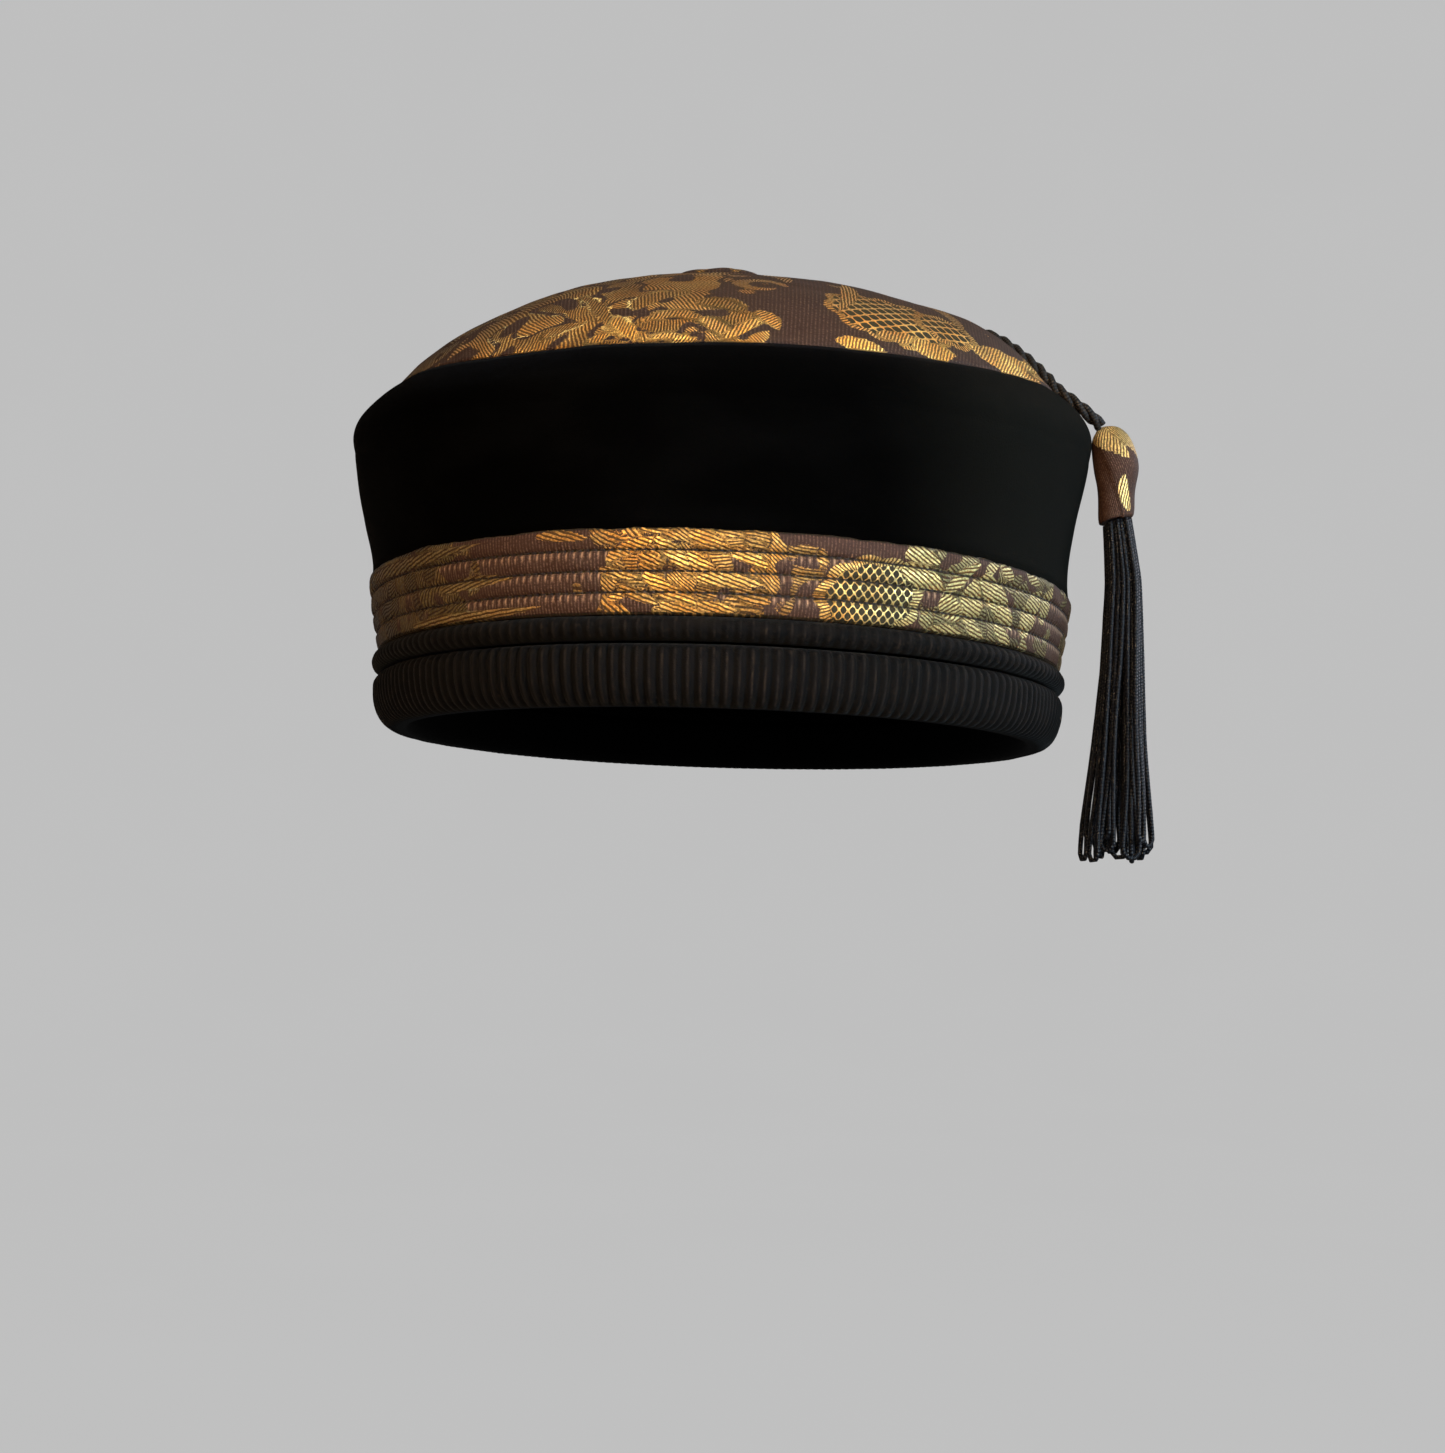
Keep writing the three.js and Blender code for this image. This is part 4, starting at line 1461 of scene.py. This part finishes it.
@dataclass
class Cord:
    """The twisted cord from the button's edge over the shoulder to the tassel's head."""

    diameter: float = 3.8
    pitch: float = 15.0
    plies: int = 3
    ply_share: float = 0.25
    swell: float = 0.05
    steps: int = 240
    route: tuple[Triple, ...] = (
        (13.9, 2.0, 134.4), (26.4, 6.9, 133.1), (40.4, 12.9, 131.1), (54.6, 17.4, 127.7), (67.1, 18.9, 124.1),
        (75.9, 17.8, 120.1), (83.2, 15.3, 114.1), (89.4, 12.8, 107.6), (94.2, 10.0, 101.6), (98.2, 9.2, 98.1),
        (101.0, 9.2, 95.7), (103.0, 10.1, 94.0), (104.5, 11.6, 92.8), (105.6, 13.2, 91.9),
    )

    def build(self, material: Material, head: Piece) -> Piece:
        """Args:
            material: The cord's finish.
            head: The tassel's head, which the cord ends in. Not used.

        Returns:
            The cord.
        """
        smooth = through(self.route, 8)
        length = sum((b - a).length for a, b in zip(smooth, smooth[1:]))
        frames = stations(even(smooth, self.steps))
        strands = []
        for ply in range(self.plies):
            path = []
            radii = []
            for i, place in enumerate(frames):
                walked = length * i / (len(frames) - 1)
                angle = TURN * (walked / self.pitch + ply / self.plies)
                reach = self.diameter * self.ply_share
                path.append(place @ Vector((reach * math.cos(angle), reach * math.sin(angle), 0)))
                radii.append(reach * (1 + self.swell * math.sin(5 * angle)))
            strands.append(sweep(path, radii, 10))
        piece = finish_piece("twisted_cord", gather(strands, "cord_plies"), material)
        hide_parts("tassel_cord")
        path = [tuple(point * MM) for point in even(smooth, 36)]
        return piece


@dataclass
class Tassel:
    """The wrapped brocade head and its skirt of looped yarn."""

    above_bulge: float = 12.5
    height: float = 24.8
    radius: float = 6.1
    clear: float = 0.7
    slant: float = 1.6
    lean: float = 1.7
    skirt_length: float = 98.0
    skirt_radius: float = 12.0
    aside: float = 2.4
    loops: int = 21
    yarn: float = 0.68
    along: float = 0.145
    fullness: float = 0.86
    seed: int = 7
    spread: tuple[Triple, ...] = (
        (0.0, 0.37, 0.25), (0.2, 0.48, 1.0), (0.45, 0.59, 0.92), (0.7, 0.77, 0.58), (0.9, 0.96, 0.38),
        (1.0, 1.0, 0.38),
    )

    @property
    def x(self) -> float:
        """The head's middle towards the wearer's left."""
        return FORM.bulge_radius + self.clear + self.radius

    @property
    def y(self) -> float:
        """The head's middle towards the back."""
        return self.x * self.along

    @property
    def head_top(self) -> float:
        """The head's upper end."""
        return FORM.bulge_height + self.above_bulge

    @property
    def head_bottom(self) -> float:
        """The head's lower end."""
        return self.head_top - self.height

    def head(self, material: Material) -> Piece:
        """Makes the tassel's head: cloth wrapped round the strands."""
        radius = self.radius
        low = self.head_bottom
        line = [
            (0, low + 0.6), (radius * 0.42, low + 0.35), (radius * 0.70, low), (radius * 0.78, low + 1.4),
            (radius * 0.82, low + self.height * 0.25), (radius, low + self.height * 0.54),
            (radius * 0.97, low + self.height * 0.77), (radius * 0.76, low + self.height * 0.92),
            (radius * 0.43, self.head_top), (0, self.head_top + 0.2),
        ]
        spun = Spun(axis_profile(line, 7), 120, "head_cloth")
        share = (spun.height - low) / self.height
        wrap = (spun.azimuth + math.pi * 0.62 + 1.5 * (share - 0.5)) % TURN
        overlap = np.where(spun.radius > 0.5, 0.42 * np.exp(-wrap / 1.9) * ramp(wrap, 0.0, 0.09), 0)
        flat = spun.rest / [1, FORM.oval, 1]
        slack = 0.22 * ripple(flat * [1, 1, 0.5], 3.5, 61)
        points = spun.place(np.where(spun.radius > 0.01, overlap + slack, 0)) / [1, FORM.oval, 1]
        x, y, z = points.T
        z = z - (1 - ramp(z, low, low + self.height * 0.4)) * self.slant * (radius - x) / radius
        x = x - self.lean * ramp(z, self.head_top - self.height * 0.5, self.head_top)
        write_points(spun.mesh, np.column_stack([x + self.x, y + self.y, z]))
        around = TURN * radius
        across = wrap * radius
        motifs: list[Leaf | Curl] = [
            Leaf(around * -0.04, 26, around * 0.20, 15, 9.5, 1.2, 62, 1.15),
            Leaf(around * 0.17, 26, around * 0.38, 15, 7.0, 1.0, 128, 1.05),
            Leaf(around * 0.075, 0.8, around * 0.115, 10.5, 4.0, 0.8, 58, 1.2),
            Leaf(around * 0.66, 22, around * 0.74, 4, 6, 1.0, 60, 0.6),
        ]
        # Painted cool light: the head's gold is tinted pale and greenish all round.
        Drawing(motifs, [], around).lay(spun.mesh, across, spun.height - low, painted_cool_light=0.5)
        piece = finish_piece("tassel_wrap", spun.mesh, material)
        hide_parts("tassel_head")
        return piece

    def spread_at(self, down: float) -> tuple[float, float]:
        """The skirt's radius and its swing aside at a share of its length."""
        table = np.array(self.spread)
        radius = float(np.interp(down, table[:, 0], table[:, 1]))
        aside = float(np.interp(down, table[:, 0], table[:, 2]))
        return radius * self.skirt_radius, aside * self.aside

    def skirt(self, material: Material) -> Piece:
        """Makes the skirt: loops of yarn that hang from the head's lower end."""
        chance = random.Random(self.seed)
        golden = math.pi * (3 - math.sqrt(5))
        strands = []
        for number in range(self.loops):
            share = math.sqrt((number + 0.5) / self.loops)
            angle = number * golden
            length = self.skirt_length - chance.uniform(0, 6.5)
            part = chance.uniform(1.1, 2.3)
            facing = angle + math.pi / 2 + chance.uniform(-0.7, 0.7)
            strands.append(self.loop(share, angle, length, part, facing, chance))
        piece = finish_piece("yarn_skirt", gather(strands, "skirt_yarn"), material)
        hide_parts("tassel_skirt")
        return piece

    def loop(
        self, share: float, angle: float, length: float, part: float, facing: float, chance: random.Random
    ) -> BMesh:
        """One loop of yarn: down, round and up again.

        Args:
            share: The loop's place in the skirt, from its middle at 0 to its outside at 1.
            angle: The loop's angle round the skirt.
            length: How far down it reaches.
            part: How far its two legs stand from each other at the bottom.
            facing: The direction in which the legs part.
            chance: The source of its small irregularities.

        Returns:
            The loop.
        """
        top = self.head_bottom - 0.6
        sway = chance.uniform(-0.16, 0.16)
        legs = []
        for side in (-1, 1):
            leg = []
            wander = chance.uniform(0, 6)
            for i in range(27):
                down = i / 26 * 0.985
                reach, aside = self.spread_at(down)
                turn = angle + sway * down + 0.05 * math.sin(9 * down + wander)
                apart = side * (0.55 + part * down**5)
                out = reach * self.fullness * share
                x = aside + out * math.cos(turn) + apart * math.cos(facing)
                y = out * math.sin(turn) + apart * math.sin(facing)
                tilt = (1 - ramp(down, 0.0, 0.1)) * self.slant * (self.radius - x) / self.radius
                leg.append(Vector((self.x + x, self.y + y, top - down * (length - part) - tilt)))
            legs.append(leg)
        low_left, low_right = legs[0][-1], legs[1][-1]
        middle = (low_left + low_right) / 2
        half = (low_right - low_left) / 2
        drop = Vector((0, 0, -half.length * chance.uniform(1.0, 1.5)))
        turns = [math.pi * k / 8 for k in range(1, 8)]
        bow = [middle - half * math.cos(turn) + drop * math.sin(turn) for turn in turns]
        path = even(legs[0] + bow + legs[1][::-1], 96)
        radii = []
        for point in path:
            full = 0.82 + 0.18 * min(1.0, (top - point.z) / 30)
            radii.append(self.yarn * full * chance.uniform(0.97, 1.03))
        return sweep(path, radii, 8)


@dataclass(frozen=True)
class Lamp:
    """A soft round light that faces a point, in metres, watts and degrees."""

    name: str
    place: Triple
    target: Triple
    size: float
    power: float
    colour: Triple
    spread: float = 180

    def build(self) -> None:
        """Adds the light to the scene."""
        data = bpy.data.lights.new(self.name, "AREA")
        data.shape = "DISK"
        data.size = self.size
        data.energy = self.power
        data.spread = math.radians(self.spread)
        data.color = self.colour
        facing = (Vector(self.target) - Vector(self.place)).to_track_quat("-Z", "Y")
        lamp = add_object(self.name, data)
        lamp.matrix_world = Matrix.Translation(Vector(self.place)) @ facing.to_matrix().to_4x4()


@dataclass
class Studio:
    """The camera, the soft lights and the pale sweep behind the cap.

    The camera's angles are in degrees, its aim and distance in millimetres, and the sweep's sizes in metres.
    """

    aim_height: float = 21.0
    distance: float = 500.0
    azimuth: float = 16.0
    elevation: float = -7.3
    yaw: float = 0.08
    pitch: float = -1.82
    roll: float = 1.55
    focal_pixels: float = 1732.9
    image_height: float = 1453.0
    sensor: float = 36.0
    floor: float = -0.42
    level_reach: float = 2.6
    bend_radius: float = 1.6
    sweep_height: float = 4.6
    sweep_grey: float = 0.52
    air: float = 0.2
    lamps: tuple[Lamp, ...] = (
        Lamp("overhead_warm", (-0.02, -0.26, 1.00), (0, 0, 0.10), 0.26, 2.7, (1.0, 0.86, 0.64)),
        Lamp("front_warm", (0.10, -1.15, 0.10), (0.02, 0, 0.045), 0.10, 0.175, (1.0, 0.68, 0.38), 20),
        Lamp("front_soft", (-0.05, -1.15, 0.15), (0, 0, 0.04), 0.30, 0.8, (1.0, 0.78, 0.55)),
        Lamp("right_cool", (1.05, -0.55, 0.22), (0, 0, 0.05), 0.5, 21, (0.70, 0.88, 1.0)),
        Lamp("back_right", (0.75, 0.75, 0.45), (0, 0, 0.08), 0.3, 3, (0.86, 0.86, 1.0)),
    )

    def camera(self) -> None:
        """Makes the camera at the photograph's place."""
        turn = math.radians(self.azimuth)
        rise = math.radians(self.elevation)
        away = Vector((math.sin(turn) * math.cos(rise), -math.cos(turn) * math.cos(rise), math.sin(rise)))
        ahead = -away
        right = ahead.cross(Vector((0, 0, 1))).normalized()
        up = right.cross(ahead)
        yaw = math.radians(self.yaw)
        pitch = math.radians(self.pitch)
        ahead = ahead * (math.cos(pitch) * math.cos(yaw)) + right * (math.sin(yaw) * math.cos(pitch))
        ahead += up * math.sin(pitch)
        right = ahead.cross(up).normalized()
        up = right.cross(ahead)
        roll = math.radians(self.roll)
        side = right * math.cos(roll) + up * math.sin(roll)
        top = up * math.cos(roll) - right * math.sin(roll)
        turned = Matrix((side, top, -ahead)).transposed().to_4x4()
        place = (away * self.distance + Vector((0, 0, self.aim_height))) * MM
        data = bpy.data.cameras.new("camera")
        data.sensor_width = self.sensor
        data.lens = self.sensor * self.focal_pixels / self.image_height
        data.clip_start = 0.01
        camera = add_object("camera", data)
        camera.matrix_world = Matrix.Translation(place) @ turned
        bpy.context.scene.camera = camera

    def sweep(self) -> None:
        """Makes the floor and the backdrop in one pale sheet."""
        bm = bmesh.new()
        line = [(0.0, self.floor)]
        for turn in np.linspace(0, math.pi / 2, 14):
            out = self.level_reach + self.bend_radius * math.sin(turn)
            line.append((out, self.floor + self.bend_radius * (1 - math.cos(turn))))
        line.append((self.level_reach + self.bend_radius, self.sweep_height))
        verts = [bm.verts.new((reach, 0, height)) for reach, height in line]
        edges = [bm.edges.new(pair) for pair in zip(verts, verts[1:])]
        spin_round(bm, verts + edges, TURN, 72, merge=True)
        bmesh.ops.remove_doubles(bm, verts=bm.verts, dist=1e-5)
        bmesh.ops.recalc_face_normals(bm, faces=bm.faces)
        bmesh.ops.reverse_faces(bm, faces=bm.faces)
        mesh = as_mesh(bm, "studio_sweep")
        mesh.shade_smooth()
        desk = Desk("studio_paper")
        grain = desk.noise(desk.place(), 3, 2, 0.5)
        darker, lighter = ((self.sweep_grey * share,) * 3 + (1,) for share in (0.99, 1.01))
        shade = desk.mix(grain, darker, lighter)
        desk.set(Base_Color=(0.02, 0.02, 0.02, 1), Roughness=1.0, Specular_IOR_Level=0.0)
        desk.set(Emission_Color=shade, Emission_Strength=1.0)
        mesh.materials.append(desk.material)
        stage = add_object("studio_sweep", mesh)
        stage.visible_diffuse = False
        stage.visible_glossy = False
        stage.visible_shadow = False

    def build(self) -> None:
        """Sets the scene."""
        self.camera()
        self.sweep()
        for lamp in self.lamps:
            lamp.build()
        world = bpy.data.worlds.new("studio_air")
        world.use_nodes = True
        background = world.node_tree.nodes["Background"]
        background.inputs[0].default_value = (0.5, 0.5, 0.5, 1)
        background.inputs[1].default_value = self.air
        bpy.context.scene.world = world
        bpy.context.scene.view_settings.view_transform = "Standard"


def main() -> None:
    """Builds the cap's pieces from the rim up, and then the studio."""
    logging.basicConfig(level=logging.INFO, format="%(name)s %(message)s")
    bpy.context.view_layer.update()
    Studio().build()
    brocade = BrocadeFinish().build()
    top_brocade = BrocadeFinish(
        "top_brocade", ground=(0.028, 0.012, 0.008, 1), ground_rib=(0.100, 0.060, 0.040, 1), rib_pitch=1.05,
        net_width=4.3, net_height=4.9, thread_low=0.0, thread_high=0.5,
    ).build()
    ribbed = RibbedFinish().build()
    thread = ThreadFinish().build()
    Cuff().build(ribbed)
    Welt().build(ribbed)
    Band().build(brocade, thread)
    VelvetWall().build(VelvetFinish().build())
    Top().build(top_brocade)
    Button().build(top_brocade)
    tassel = Tassel()
    head = tassel.head(BrocadeFinish("head_brocade", rib_pitch=0.62, thread_pitch=0.78).build())
    chain = YarnFinish("chain_yarn", (0.0008, 0.0008, 0.0016, 1), (0.0058, 0.0062, 0.0105, 1))
    tassel.skirt(chain.build())
    twist = YarnFinish("cord_yarn", (0.0014, 0.0010, 0.0009, 1), (0.020, 0.0145, 0.012, 1), 0.6, 0.9)
    Cord().build(twist.build(), head)


if __name__ == "__main__":
    main()
